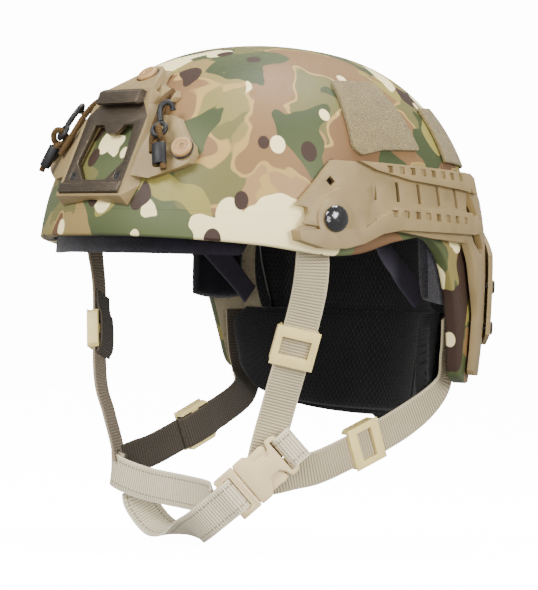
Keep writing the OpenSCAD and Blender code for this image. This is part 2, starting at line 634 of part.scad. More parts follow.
module rail_left() {
  color(tan_polymer)
  difference() {
    union() {
      side_piece(bar, rail_gap, plate_d, -6, 55);
      side_piece(upper_rib, plate_d - 0.5, rib_d, -6, 55);
      side_piece(lower_rib, plate_d - 0.5, rib_d, -6, 55);
      side_piece(front_rise, plate_d - 0.5, rib_d - 1, 0, 40, [false]);
      side_station(rail_bolt_y, rail_bolt_z, rail_gap + 0.4) cylinder(d = dome_d + 7, h = boss_h);
      intersection() {
        leg_band();
        leg_prism(leg_outline);
      }
    }
    side_station(rail_bolt_y, rail_bolt_z, -20) cylinder(d = bolt_d + 2 * bolt_gap, h = 50);
    for (i = [0:slot_count - 1])
      side_station(slot_from_y + i * slot_pitch, (rib_low_z + low_rib_z) / 2, i == 0 ? plate_d - 1.2 : -3)
      translate([-slot_w / 2, -slot_h / 2, 0]) cube([slot_w, slot_h, 20]);
    for (i = [0:notch_count - 1],
         row = [(rail_top_z + rib_low_z) / 2 + 0.8, (rail_low_z + low_rib_z) / 2 + 3])
      side_station(notch_from_y + i * notch_pitch, row, plate_d + (i % 2 == 0 ? 0.3 : 1.9))
      translate([-notch_w / 2, -notch_w / 2, 0]) cube([notch_w, notch_w, 20]);
    side_station(-54, 37.5, -3) rotate([0, 0, 45]) translate([-2.2, -2.2, 0]) cube([4.4, 4.4, 20]);
    leg_prism(leg_window_top);
    leg_prism(leg_window_low);
    for (i = [0:5])
      leg_station(leg_mid + 1, -8 - 9 * i, plate_d - 0.6) translate([-2, -2, 0]) cube([4, 4, 6]);
    for (z = rear_bolt_z) rear_station(rear_bolt_turn, z, -5) cylinder(d = 4 + 2 * bolt_gap, h = 30);
  }
}
module rail_right() mirror([1, 0, 0]) rail_left();

dome_seat = rail_gap + 0.4 + boss_h;
module rail_bolts() {
  color(black_plastic)
  mirrored() side_station(rail_bolt_y, rail_bolt_z, dome_seat) {
    rotate_extrude() polygon(concat([[0, 0]],
      [for (a = [0:10:90]) [dome_d / 2 * cos(a), 0.8 + (dome_h - 0.8) * sin(a)]]));
    translate([0, 0, 2 * seat - dome_seat]) cylinder(d = bolt_d, h = dome_seat - 2 * seat + 0.1);
  }
}
module rail_nuts() {
  color(black_plastic)
  // The nut clamps the front strap, which lies between it and the anchor washer
  mirrored() side_station(rail_bolt_y, rail_bolt_z, -shell_wall - 6.2 - nut_t) cylinder(d = 12, h = nut_t);
}
module rail_bumpers() {
  color(black_plastic)
  mirrored() for (z = [-20, -40, -59])
    leg_station(leg_from + (z > -30 ? 0.5 : 2.5), z, 0.5) cylinder(d = bumper_d, h = rail_gap - 0.9);
}

// Plate across the back, on an upright arc through the shell's rear
rear_turn = 140;
rear_side = shell_at(rear_turn, 0);
rear_back_y = rear_y(0);
rear_c = (pow(rear_back_y, 2) - pow(rear_side[0], 2) - pow(rear_side[1], 2))
  / (2 * (rear_back_y - rear_side[1]));
rear_arc_r = rear_back_y - rear_c;
function rear_r(z, d = 0) = rear_arc_r + side_fall(z) * 0.9 + d;
rear_bolt_turn = 39.5;
rear_bolt_z = [-15, -40];
module rear_station(turn, z, d) {
  translate([0, rear_c, z]) rotate([0, 0, 90 - turn])
  translate([rear_r(z, d), 0, 0]) rotate([90, 0, 90]) children();
}
module rear_band(d0, d1, z0, z1, half) {
  step = (z1 - z0) / 12;
  translate([0, rear_c, 0]) rotate([0, 0, 90 - half]) rotate_extrude(angle = 2 * half)
  polygon(concat([for (z = [z0:step:z1 + 0.01]) [rear_r(z, d1), z]],
                 [for (z = [z1:-step:z0 - 0.01]) [rear_r(z, d0), z]]));
}
rear_seat_d = plate_d + 0.5 + seat;
rear_half = 44;
rear_plate_half = rear_arc_r * sin(rear_bolt_turn) + 10.42;
module rear_plate() {
  color(tan_polymer)
  difference() {
    intersection() {
      rear_band(rear_seat_d, rear_seat_d + rear_plate_t, rear_plate_low, rear_plate_top, rear_half);
      rotate([-90, 0, 0]) translate([0, 0, 20]) linear_extrude(150)
        polygon([[-rear_plate_half, -4], [24 - rear_plate_half, -rear_plate_top], [-30, -rear_plate_top],
                 [-22, -8], [22, -8], [30, -rear_plate_top], [rear_plate_half - 24, -rear_plate_top],
                 [rear_plate_half, -4], [rear_plate_half, 44], [rear_plate_half - 12, -rear_plate_low],
                 [12 - rear_plate_half, -rear_plate_low], [-rear_plate_half, 44]]);
    }
    mirrored() for (z = rear_bolt_z)
      rear_station(rear_bolt_turn, z, -5) cylinder(d = 4 + 2 * bolt_gap, h = 40);
  }
}
module rear_panel() {
  color(cord_brown)
  rear_band(rear_seat_d + rear_plate_t + 0.1, rear_seat_d + rear_plate_t + rear_panel_t,
            rear_plate_low + 5, -12, 33);
}
module rear_bolts() {
  color(black_plastic)
  mirrored() for (z = rear_bolt_z) rear_station(rear_bolt_turn, z, rear_seat_d + rear_plate_t + 0.15) {
    cylinder(d = 8, h = 1.4);
    translate([0, 0, -6]) cylinder(d = 4, h = 6);
  }
}

// Loop patches: thin skins on the shell with a pile edge, over an outline given by a centre and corners
function spread(outline, c, s) = [for (p = outline) c + (p - c) * s];
function dense(outline, k) =
  [for (i = [0:len(outline) - 1], j = [0:k - 1]) mix(outline[i], outline[(i + 1) % len(outline)], j / k)];
function mean(p) = [for (i = [0:1]) (min([for (q = p) q[i]]) + max([for (q = p) q[i]])) / 2];
module patch_skin(outline, k, place) {
  edge = dense(outline, k);
  c = mean(edge);
  rings = concat([for (s = [0.35, 0.7, 0.97]) [s, seat]], [[1, seat + patch_t * 0.3], [0.985, patch_t]],
                 [for (s = [0.7, 0.35]) [s, patch_t]]);
  skin(place(c, seat), [for (r = rings) [for (p = spread(edge, c, r[0])) place(p, r[1])]], place(c, patch_t));
}
side_patch = [[-28, 97], [6, 99.5], [15, 79], [21, 60.5], [-11, 58.3], [-28, 53.8], [-33, 58.5], [-31, 78]];
module side_loop_left() {
  color(loop_sand)
  patch_skin(side_patch, 3, function(p, d) [side_x(p[0], p[1], d), p[0], p[1]]);
}
module side_loop_right() mirror([1, 0, 0]) side_loop_left();
// The rear patch is swept over the angle from the front
module rear_loop() {
  color(loop_sand)
  tube([for (t = [111:6.9:249.1])
    let (low = 55.5, high = 96 - 0.12 * abs(t - 180), step = (high - low) / 4)
    concat([for (z = [low:step:high + 0.01]) shell_at(t, z, seat + 0.1)],
           [for (z = [high:-step:low - 0.01]) shell_at(t, z, patch_t)])]);
}

// Crowned pad: back surface at depth d0, inner face swelling to d1, edges drawn in
function loop_at(i, n, p) = [spow(cos(360 * i / n), 2 / p), spow(sin(360 * i / n), 2 / p)];
module pad(place, d0, d1, n = 32, square = 5) {
  back = [for (s = [0.3, 0.6, 0.9]) [s, 0]];
  side = [[0.985, 0.12], [1, 0.35], [0.97, 0.6]];
  face = [for (s = [0.86, 0.66, 0.4]) [s, 0.6 + 0.4 * sqrt(1 - s * s)]];
  skin(place([0, 0], d0),
       [for (r = concat(back, side, face))
         [for (i = [0:n - 1]) place(r[0] * loop_at(i, n, square), mix(d0, d1, r[1]))]],
       place([0, 0], d1));
}
// Long pad swept over an angle: q runs from one end to the other, and its ends are drawn in
module long_pad(place, low, high, d0, d1, m = 10, n = 14, square = 4) {
  tube([for (k = [-m:m])
    let (q = 0.998 * sin(90 * k / m), e = pow(1 - pow(abs(q), 6), 1 / 6), lo = low(q), hi = high(q),
         zm = (lo + hi) / 2, hz = (hi - lo) / 2 * (0.82 + 0.18 * e))
    [for (i = [0:n - 1])
      let (c = loop_at(-i, n, square)) place(q, zm + hz * c[0], mix(d0, d1, e * (1 + c[1]) / 2))]]);
}
pad_back = -shell_wall - soft_gap - disc_t;
pad_face = pad_back - pad_t;
// Place on the inside of the shell by angle and height, with the grid's half sizes
function liner_place(t, z, ht, hz) = function(p, d) shell_at(t - p[0] * ht, z + p[1] * hz, d);
module brow_pad() {
  color(felt_black)
  long_pad(function(q, z, d) shell_at(50 * q, z, d), function(q) -9, function(q) 30, pad_back, pad_face);
}
module crown_pad() {
  color(felt_black)
  pad(function(p, d) [-p[0] * 46, 6 + p[1] * 60, top_z(p[0] * 46, 6 + p[1] * 60, d)], pad_back, pad_face);
}
module side_pad_left() {
  color(felt_black) pad(liner_place(112, 8, 9, 37), pad_back, pad_back - 0.5 * pad_t, 32);
}
module side_pad_right() mirror([1, 0, 0]) side_pad_left();
// The rear pad thins towards its ends, where the lace passes
function rear_fill(q) =
  let (s = min(1, max(0, (abs(q) - 0.68) / 0.14)))
  1 - 0.6 * (3 * s * s - 2 * s * s * s);
module rear_pad() {
  color(felt_black)
  long_pad(function(q, z, d) shell_at(180 - 55 * q, z, pad_back + (d - pad_back) * rear_fill(q)),
           function(q) -30, function(q) 36, pad_back, pad_face, 16);
}
disc_low = -shell_wall - 0.6;
module pad_hook_discs() {
  turn = disc_d / 4.2;
  color(black_plastic) {
    for (p = [[-28, 12], [28, 12], [112, 14], [-112, 14], [160, 10], [-160, 10]])
      pad(liner_place(p[0], p[1], turn, disc_d / 2), disc_low, disc_low - 0.6, 16, 2);
    pad(function(p, d)
          let (x = p[0] * disc_d / 2, y = 6 + p[1] * disc_d / 2)
          [-x, y, top_z(x, y, d)],
        disc_low, disc_low - 0.6, 16, 2);
  }
}
// Frame at a point: Z along a direction, Y as near upright as it can be
function facing(at, out, along = [0, 0, 1]) =
  let (z = unit(out), x = unit(cross(along, z)), y = cross(z, x))
  [[x[0], y[0], z[0], at[0]], [x[1], y[1], z[1], at[1]], [x[2], y[2], z[2], at[2]], [0, 0, 0, 1]];

// Nape fit system on an oval behind the head
nape_turn = 62.5;
function nape_at(t, z, d) =
  let (k = 2 / plan_power)
  [(nape_half_w + d) * spow(sin(t), k),
   -(nape_rear + d) * spow(cos(t), k) - (nape_top_z - z) * tan(nape_tilt), z];
nape_low_edge = [[0, nape_low_z], [20, nape_low_z + 0.5], [36, nape_low_z + 3],
                 [50, -86], [57, -74], [63, -56]];
function nape_low(t) = smooth(nape_low_edge, min(63, abs(t)));
nape_place = function(q, z, d) nape_at(180 - q * nape_turn, z, d);
module nape_pad() {
  color(felt_black)
  long_pad(nape_place, function(q) nape_low(q * nape_turn), function(q) nape_top_z, nape_t, 0, 12, 16, 5);
}
module nape_backing() {
  color(felt_black)
  long_pad(function(q, z, d) nape_place(0.6 * q, z, d), function(q) nape_low(0.6 * q * nape_turn) - 2.5,
           function(q) nape_top_z - 4, nape_t + 2.3, nape_t + 0.4, 8, 10, 5);
}
carrier_d = nape_t + 2.8;
module nape_carrier() {
  color(black_plastic)
  long_pad(function(q, z, d) nape_place(0.78 * q, z, d),
           function(q) mix(nape_low(0.78 * q * nape_turn), nape_top_z, 0.12),
           function(q) nape_top_z - 7, carrier_d + carrier_t, carrier_d, 8, 10, 6);
}
dial_y = nape_rear + carrier_d + carrier_t + 0.05 - (nape_top_z + dial_drop) * tan(nape_tilt);
module dial_axis(d)
  translate([0, dial_y, -dial_drop]) rotate([-90 - nape_tilt, 0, 0]) translate([0, 0, d]) children();
module dial_case() {
  color(black_plastic)
  dial_axis(0) difference() {
    hull() {
      cylinder(d = dial_d + 4, h = dial_case_t, $fn = 32);
      translate([0, -14, 0]) cylinder(d = dial_d - 4, h = dial_case_t - 1, $fn = 32);
    }
    translate([0, 0, 1]) cylinder(d = dial_d - 6, h = 10);
    translate([0, 0, -3]) cylinder(d = spindle_d + 0.1, h = 10);
  }
}
module dial_knob() {
  color(black_plastic)
  dial_axis(dial_case_t + 0.3) difference() {
    cylinder(d = dial_d, h = dial_knob_t);
    for (a = [0:30:330])
      rotate([0, 0, a]) translate([dial_d / 2 + 1.2, 0, -1]) cylinder(d = 4, h = dial_knob_t + 2);
  }
}
module dial_spool() {
  color(grey_shrink)
  dial_axis(1.3) {
    cylinder(d = dial_d - 9, h = 0.8);
    cylinder(d = dial_d - 13, h = dial_case_t - 1);
    translate([0, 0, -1.2]) cylinder(d = spindle_d, h = 1.3);
  }
}

// Webbing: each station is a point and the way its width lies
function web_rings(route, w, t) =
  [for (i = [0:len(route) - 1])
    let (a = unit(route[min(len(route) - 1, i + 1)][0] - route[max(0, i - 1)][0]),
         g = route[i][1], u = unit(g - a * (g * a)), n = cross(a, u), c = route[i][0])
    [c - u * w / 2 - n * t / 2, c + u * w / 2 - n * t / 2,
     c + u * w / 2 + n * t / 2, c - u * w / 2 + n * t / 2]];
function fine(route, k = 4) =
  concat([for (i = [0:len(route) - 2], j = [0:k - 1]) mix(route[i], route[i + 1], j / k)],
         [route[len(route) - 1]]);
module webbing(route, w = web_w, t = web_t) tube(web_rings(fine(route), w, t));

hang = -shell_wall - 2.9 - web_t / 2;
front_left_route = [
  [shell_at(68, 24, hang), [0.3, 0.95, 0]], [shell_at(68, 2, hang), [0.35, 0.94, 0]],
  [[92, -51.5, -30], [0.64, 0.77, 0]], [[69.2, -47.7, -88], [0.64, 0.77, 0]],
  [[63.3, -49.6, -112], [0.66, 0.75, 0]], [[60.6, -50.9, -127], [0.66, 0.75, 0]]];
front_right_route = [
  [shell_at(-68, 24, hang), [-0.35, 0.94, 0]], [shell_at(-68, 2, hang), [-0.4, 0.92, 0]],
  [[-93.5, -53, -28], [-0.5, 0.87, 0]], [[-80, -60, -80], [-0.5, 0.87, 0]],
  [[-75, -56, -102], [-0.5, 0.87, 0]], [[-71, -52, -120], [-0.5, 0.87, 0]]];
rear_left_route = [
  [shell_at(121, -34, hang), [-0.45, 0.89, 0]], [shell_at(121, -56, hang - 1), [-0.45, 0.89, -0.1]],
  [[86, 65, -78], [-0.3, 0.8, -0.5]], [[80, 40, -100], [0, 0.4, -0.92]], [[75.5, -14, -124], [0, 0.4, -0.92]],
  [[67.6, -34.7, -130.5], [0, 0.25, -0.97]], [[60.6, -44.7, -134], [-0.1, 0.2, -0.97]]];
rear_right_route = [
  [shell_at(-121, -34, hang), [0.45, 0.89, 0]], [shell_at(-121, -56, hang - 1), [0.45, 0.89, -0.1]],
  [[-84, 64, -80], [0.3, 0.8, -0.5]], [[-74, 44, -94], [0, 0.42, -0.91]],
  [[-72, -14, -121.5], [0, 0.42, -0.91]], [[-71.5, -34, -128.5], [0, 0.25, -0.97]],
  [[-68.5, -50, -133], [-0.1, 0.1, -0.98]]];
chin_upper_route = [
  [[-66, -44, -137.5], [0, 0, 1]], [[-62, -47.5, -140], [0, 0, 1]], [[-37, -52, -143.7], [0, 0, 1]],
  [[-3, -54, -146], [0, 0, 1]], [[27, -58.5, -147], [-0.1, -0.2, 0.95]],
  [[51.2, -70, -148.6], [-0.45, -0.52, 0.72]]];
chin_lower_route = [
  [[-58, -43.7, -149.5], [0.1, 0.3, 0.95]], [[-54.5, -44, -156.5], [0.3, 0.6, 0.7]],
  [[-40, -42, -169], [0.2, 0.8, 0.5]],
  [[-17, -38, -174.5], [0.1, 1, 0.1]], [[4, -41, -173], [0, 1, -0.1]], [[25, -52, -164], [-0.2, 0.9, -0.4]],
  [[39.4, -61.8, -157.3], [-0.4, 0.8, -0.5]]];
module strap_front_left() color(webbing_tan) webbing(front_left_route);
module strap_front_right() color(webbing_tan) webbing(front_right_route);
module strap_rear_left() color(webbing_tan) webbing(rear_left_route);
module strap_rear_right() color(webbing_tan) webbing(rear_right_route);
module chin_band_upper() color(webbing_tan) webbing(chin_upper_route);
module chin_band_lower() color(webbing_tan) webbing(chin_lower_route);

band_route = [
  [shell_at(-82, 36, -shell_wall - 3.9), [0, -0.6, 0.8]], [[-90, -6, 26], [0, -0.55, 0.83]],
  [[-79, 12, 12], [0, -0.55, 0.83]],
  [[-76, 34, -6], [0, -0.6, 0.8]], [[-76, 57, -25], [0, -0.6, 0.8]]];
module fit_band_right() color(band_blue) webbing(band_route, band_w, 1.4);
module fit_band_left() mirror([1, 0, 0]) fit_band_right();
lace_route = [shell_at(120, 52, -shell_wall - 1.4), [74, 56, 40], [75, 61, 20], [76, 65, 0], [77, 73, -20],
              [78.3, 78.8, -34], [78.2, 81.3, -54]];
module lace() color(grey_shrink) mirrored() cord(lace_route, lace_d, 8);

// Slider: two bars in front of the webbing and one behind it, on a closed frame
function along(route, i) = unit(route[i + 1][0] - route[i][0]);
function slider_frame(route, i, s, side) =
  let (a = along(route, i), g = route[i][1] + route[i + 1][1], u = unit(g - a * (g * a)))
  facing(mix(route[i][0], route[i + 1][0], s), side * cross(u, a), a);
module slider_body() {
  inner = web_t / 2 + web_gap;
  deep = inner + slider_bar;
  open_w = web_w + 2 * web_gap;
  seen_w = web_w - 2.6;
  difference() {
    translate([-slider_w / 2, -slider_l / 2, -deep]) cube([slider_w, slider_l, 2 * deep]);
    translate([-open_w / 2, -slider_l, -inner]) cube([open_w, 2 * slider_l, 2 * inner]);
    translate([-seen_w / 2, -slider_l / 2 + 6.2, 0]) cube([seen_w, slider_l - 12.4, deep + 1]);
    for (side = [-1, 1]) translate([-open_w / 2, side * (slider_l / 2) - (side > 0 ? 9 : 1), -deep - 1])
      cube([open_w, 10, deep]);
    for (cx = [-1, 1], cy = [-1, 1]) translate([cx * slider_w / 2, cy * slider_l / 2, -deep - 1])
      rotate([0, 0, 45]) cube([3, 3, 4 * deep], center = true);
  }
}
module slider_front_left()
  color(buckle_tan) multmatrix(slider_frame(front_left_route, 2, 0.47, -1)) slider_body();
module slider_front_right()
  color(buckle_tan) multmatrix(slider_frame(front_right_route, 2, 0.5, -1)) slider_body();
module slider_rear_left()
  color(buckle_tan) multmatrix(slider_frame(rear_left_route, 3, 0.5, -1)) slider_body();
module slider_rear_right()
  color(buckle_tan) multmatrix(slider_frame(rear_right_route, 3, 0.52, -1)) slider_body();

anchor_list = [[68, 12], [-68, 12], [121, -41], [-121, -41]];
module strap_anchors() {
  color(black_plastic)
  for (p = anchor_list)
    pad(liner_place(p[0], p[1], anchor_d / 4.2, anchor_d / 2), -shell_wall - seat, -shell_wall - 1.5, 24, 2);
}

// Buckle: X across, Y along it towards the socket's end, Z out of its face
buckle_at = [61.5, -53.5, -131];
buckle_face = [0.735, -0.677, -0.034];
buckle_along = [0.47, 0.55, 0.69];
module buckle_frame() multmatrix(facing(buckle_at, buckle_face, buckle_along)) children();
tongue_w = buckle_w - 2 * socket_wall - 2 * prong_gap - 5;
tongue_t = buckle_t - 2 * socket_wall - 2 * prong_gap;
socket_low = -10;
tab_low = socket_low + socket_l;
module buckle_socket() {
  color(buckle_tan)
  buckle_frame() difference() {
    translate([-buckle_w / 2, socket_low, 0]) union() {
      cube([buckle_w, socket_l - 8, buckle_t]);
      translate([2, 0, 0]) cube([buckle_w - 4, socket_l, buckle_t]);
    }
    translate([-tongue_w / 2 - prong_gap, socket_low - 1, socket_wall])
      cube([tongue_w + 2 * prong_gap, socket_l - 8 + 1, tongue_t + 2 * prong_gap]);
    translate([-7, 2, buckle_t - socket_wall - 1]) cube([14, 13, 10]);
    translate([-web_w / 2 - web_gap, tab_low - 6, -1]) cube([web_w + 2 * web_gap, 3, buckle_t + 2]);
    for (z = [-7.1, 5.5])
      translate([-web_w / 2 - web_gap, tab_low - 3.2, z]) cube([web_w + 2 * web_gap, 10, 10]);
  }
}
module buckle_prong() {
  color(buckle_tan)
  buckle_frame() {
    translate([-tongue_w / 2, socket_low - 0.6, socket_wall + prong_gap]) cube([tongue_w, 22, tongue_t]);
    difference() {
      translate([-buckle_w / 2, socket_low - 14, 0.5]) cube([buckle_w, 13.4, buckle_t - 1]);
      translate([-web_w / 2 - web_gap, socket_low - 9.5, -1]) cube([web_w + 2 * web_gap, 4.5, buckle_t + 2]);
    }
  }
}
module buckle_tab() {
  color(webbing_tan)
  buckle_frame() difference() {
    translate([-web_w / 2, tab_low - 5.6, 1]) cube([web_w, 12, 6.4]);
    translate([-web_w, tab_low - 3.5, 1 + web_t]) cube([2 * web_w, 3.9, 6.4 - 2 * web_t]);
  }
}

shell();
shroud_frame();
shroud_insert();
insert_screws();
shroud_bolts();
shroud_washers();
shroud_nuts();
bungee_left();
bungee_right();
bungee_hook_left();
bungee_hook_right();
bungee_sleeve_left();
bungee_sleeve_right();
rail_left();
rail_right();
rail_bolts();
rail_nuts();
rail_bumpers();
rear_plate();
rear_panel();
rear_bolts();
side_loop_left();
side_loop_right();
rear_loop();
brow_pad();
crown_pad();
side_pad_left();
side_pad_right();
rear_pad();
pad_hook_discs();
fit_band_left();
fit_band_right();
nape_pad();
nape_backing();
nape_carrier();
dial_case();
dial_knob();
dial_spool();
lace();
strap_anchors();
strap_front_left();
strap_front_right();
strap_rear_left();
strap_rear_right();
chin_band_upper();
chin_band_lower();
buckle_tab();
slider_front_left();
slider_front_right();
slider_rear_left();
slider_rear_right();
buckle_socket();
buckle_prong();
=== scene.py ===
import json
from math import asin, atan, cos, degrees, hypot, pi, radians, sin, tan

import bpy
from mathutils import Matrix, Vector

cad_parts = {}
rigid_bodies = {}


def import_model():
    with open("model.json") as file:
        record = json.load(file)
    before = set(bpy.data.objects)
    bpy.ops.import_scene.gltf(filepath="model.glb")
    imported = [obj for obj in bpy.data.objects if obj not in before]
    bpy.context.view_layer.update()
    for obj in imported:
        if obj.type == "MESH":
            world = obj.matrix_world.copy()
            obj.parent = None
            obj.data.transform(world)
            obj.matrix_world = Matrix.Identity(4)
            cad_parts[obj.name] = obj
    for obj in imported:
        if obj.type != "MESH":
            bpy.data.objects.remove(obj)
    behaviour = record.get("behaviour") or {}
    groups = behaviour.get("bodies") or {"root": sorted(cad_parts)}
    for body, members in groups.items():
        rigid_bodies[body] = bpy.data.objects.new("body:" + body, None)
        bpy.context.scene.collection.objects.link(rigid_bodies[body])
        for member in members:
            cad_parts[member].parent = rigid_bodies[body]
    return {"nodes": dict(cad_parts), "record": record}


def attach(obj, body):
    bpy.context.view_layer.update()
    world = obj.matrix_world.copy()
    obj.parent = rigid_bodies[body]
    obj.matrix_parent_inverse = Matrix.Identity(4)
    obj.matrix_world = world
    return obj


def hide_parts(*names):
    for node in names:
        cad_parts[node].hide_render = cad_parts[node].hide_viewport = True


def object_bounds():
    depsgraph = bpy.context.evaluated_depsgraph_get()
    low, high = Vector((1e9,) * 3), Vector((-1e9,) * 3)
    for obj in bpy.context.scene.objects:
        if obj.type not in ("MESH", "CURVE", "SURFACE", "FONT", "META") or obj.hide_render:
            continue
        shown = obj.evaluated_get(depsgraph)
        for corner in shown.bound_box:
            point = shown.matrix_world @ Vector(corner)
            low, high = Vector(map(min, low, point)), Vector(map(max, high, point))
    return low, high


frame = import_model()
cad_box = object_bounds()
record = frame["record"]
body_of = {node: body for body, nodes in record["behaviour"]["bodies"].items() for node in nodes}

# Lengths are in millimetres and angles in degrees, as in the part's source, and MM turns lengths into metres
MM = 0.001
# Shell: its reach to the front and to the rear, half width, crown, widest height and wall
SHELL_FRONT, SHELL_REAR, SHELL_HALF_W = 141.5, 125.5, 117.0
CROWN_H, WAIST_Z, SHELL_WALL = 123.0, -24.5, 8.0
# Powers of the shell's plan and rise, its crown's lean, and the draw of its lower and front walls
PLAN_POWER, RISE_POWER, LEAN, LOW_DRAW, FRONT_DRAW = 2.3, 2.45, -1.6, 0.03, 0.085
# Height of the fine seam round the shell
PARTING_Z = 16.7
# Nape support: half width, reach to the rear, thickness, tilt, top and half of its wrap
NAPE_HALF_W, NAPE_REAR, NAPE_T, NAPE_TILT, NAPE_TOP, NAPE_TURN = 86.0, 97.0, 10.0, 6.3, -31.0, 62.5
# Liner pads: depth of their backs and thickness
PAD_BACK, PAD_T = -SHELL_WALL - 1.5, 18.0
# Chin webbing
WEB_W, WEB_T = 20.0, 1.6

# The photograph's width and height, the pixel where the frame's origin lies, and its scale there
PHOTO_W, PHOTO_H = 538, 590
ORIGIN_U, ORIGIN_V = 267.23, 251.15
PIXELS_PER_MM = 1.65
# The camera's turn, lift and roll, its distance in metres and its sensor
CAMERA_TURN, CAMERA_LIFT, CAMERA_ROLL = 47.36, -1.92, 2.81
CAMERA_FAR, SENSOR = 1.8, 36


def place_camera():
    """The camera at the photograph's angle, with the frame's origin at its pixel there."""
    turn, lift, roll = radians(CAMERA_TURN), radians(CAMERA_LIFT), radians(CAMERA_ROLL)
    back = Vector((sin(turn) * cos(lift), -cos(turn) * cos(lift), sin(lift)))
    level = Vector((cos(turn), sin(turn), 0))
    upright = back.cross(level)
    right = cos(roll) * level + sin(roll) * upright
    up = -sin(roll) * level + cos(roll) * upright
    camera = bpy.data.objects.new("camera", bpy.data.cameras.new("camera"))
    bpy.context.scene.collection.objects.link(camera)
    camera.matrix_world = Matrix((right, up, back)).transposed().to_4x4()
    camera.location = back * CAMERA_FAR
    camera.data.sensor_width = SENSOR
    camera.data.lens = PIXELS_PER_MM * CAMERA_FAR * 1000 * SENSOR / PHOTO_H
    camera.data.shift_x = (PHOTO_W / 2 - ORIGIN_U) / PHOTO_H
    camera.data.shift_y = (ORIGIN_V - PHOTO_H / 2) / PHOTO_H
    bpy.context.scene.camera = camera


# Soft lights: name, place and aim in metres, size and power
LIGHTS = (("key", (-0.1, -1.6, 1.15), (0, 0, 0.02), 0.8, 46), ("top", (0.1, 0.3, 1.7), (0, 0, 0), 1.0, 37),
          ("side", (1.8, -0.1, 0.5), (0, 0, 0), 0.8, 38), ("low", (0.9, -1.1, -0.1), (0, 0, -0.05), 0.8, 13))
# Strength of the even light, and of the white behind the object
EVEN_LIGHT, WHITE_BEHIND = 0.62, 14


def soft_light(name, place, aim, size, power):
    """A round area light."""
    data = bpy.data.lights.new(name, "AREA")
    data.shape, data.size, data.energy = "DISK", size, power
    light = bpy.data.objects.new(name, data)
    bpy.context.scene.collection.objects.link(light)
    light.location = place
    light.rotation_euler = (Vector(aim) - Vector(place)).to_track_quat("-Z", "Y").to_euler()


def make_world():
    """Even white light, and a brighter white where the camera looks past the object."""
    world = bpy.data.worlds.new("studio")
    bpy.context.scene.world = world
    world.use_nodes = True
    nodes, links = world.node_tree.nodes, world.node_tree.links
    lit, plain = nodes["Background"], nodes.new("ShaderNodeBackground")
    for background, strength in ((lit, EVEN_LIGHT), (plain, WHITE_BEHIND)):
        background.inputs["Color"].default_value = (1, 1, 1, 1)
        background.inputs["Strength"].default_value = strength
    ray, mixed = nodes.new("ShaderNodeLightPath"), nodes.new("ShaderNodeMixShader")
    links.new(ray.outputs["Is Camera Ray"], mixed.inputs[0])
    links.new(lit.outputs[0], mixed.inputs[1])
    links.new(plain.outputs[0], mixed.inputs[2])
    links.new(mixed.outputs[0], nodes["World Output"].inputs["Surface"])


place_camera()
for settings in LIGHTS:
    soft_light(*settings)
make_world()


# Shader maths
class Wire:
    """One value, colour or vector inside a material."""

    def __init__(self, paint, socket):
        self.paint, self.socket = paint, socket

    def maths(self, operation, *values):
        return self.paint.node("ShaderNodeMath", {"operation": operation}, dict(enumerate(values)))

    def __add__(self, other):
        return self.maths("ADD", self, other)

    def __sub__(self, other):
        return self.maths("SUBTRACT", self, other)

    def __rsub__(self, other):
        return self.maths("SUBTRACT", other, self)

    def __mul__(self, other):
        return self.maths("MULTIPLY", self, other)

    def __truediv__(self, other):
        return self.maths("DIVIDE", self, other)

    __radd__, __rmul__ = __add__, __mul__

    def abs(self):
        return self.maths("ABSOLUTE", self)

    def fract(self):
        return self.maths("FRACT", self)

    def sine(self):
        return self.maths("SINE", self)

    def top(self, other):
        return self.maths("MAXIMUM", self, other)

    def low(self, other):
        return self.maths("MINIMUM", self, other)

    def step(self, start, end):
        """0 below start, 1 above end, smooth between them."""
        return self.paint.node("ShaderNodeMapRange", {"interpolation_type": "SMOOTHSTEP"},
                               {"Value": self, "From Min": start, "From Max": end})


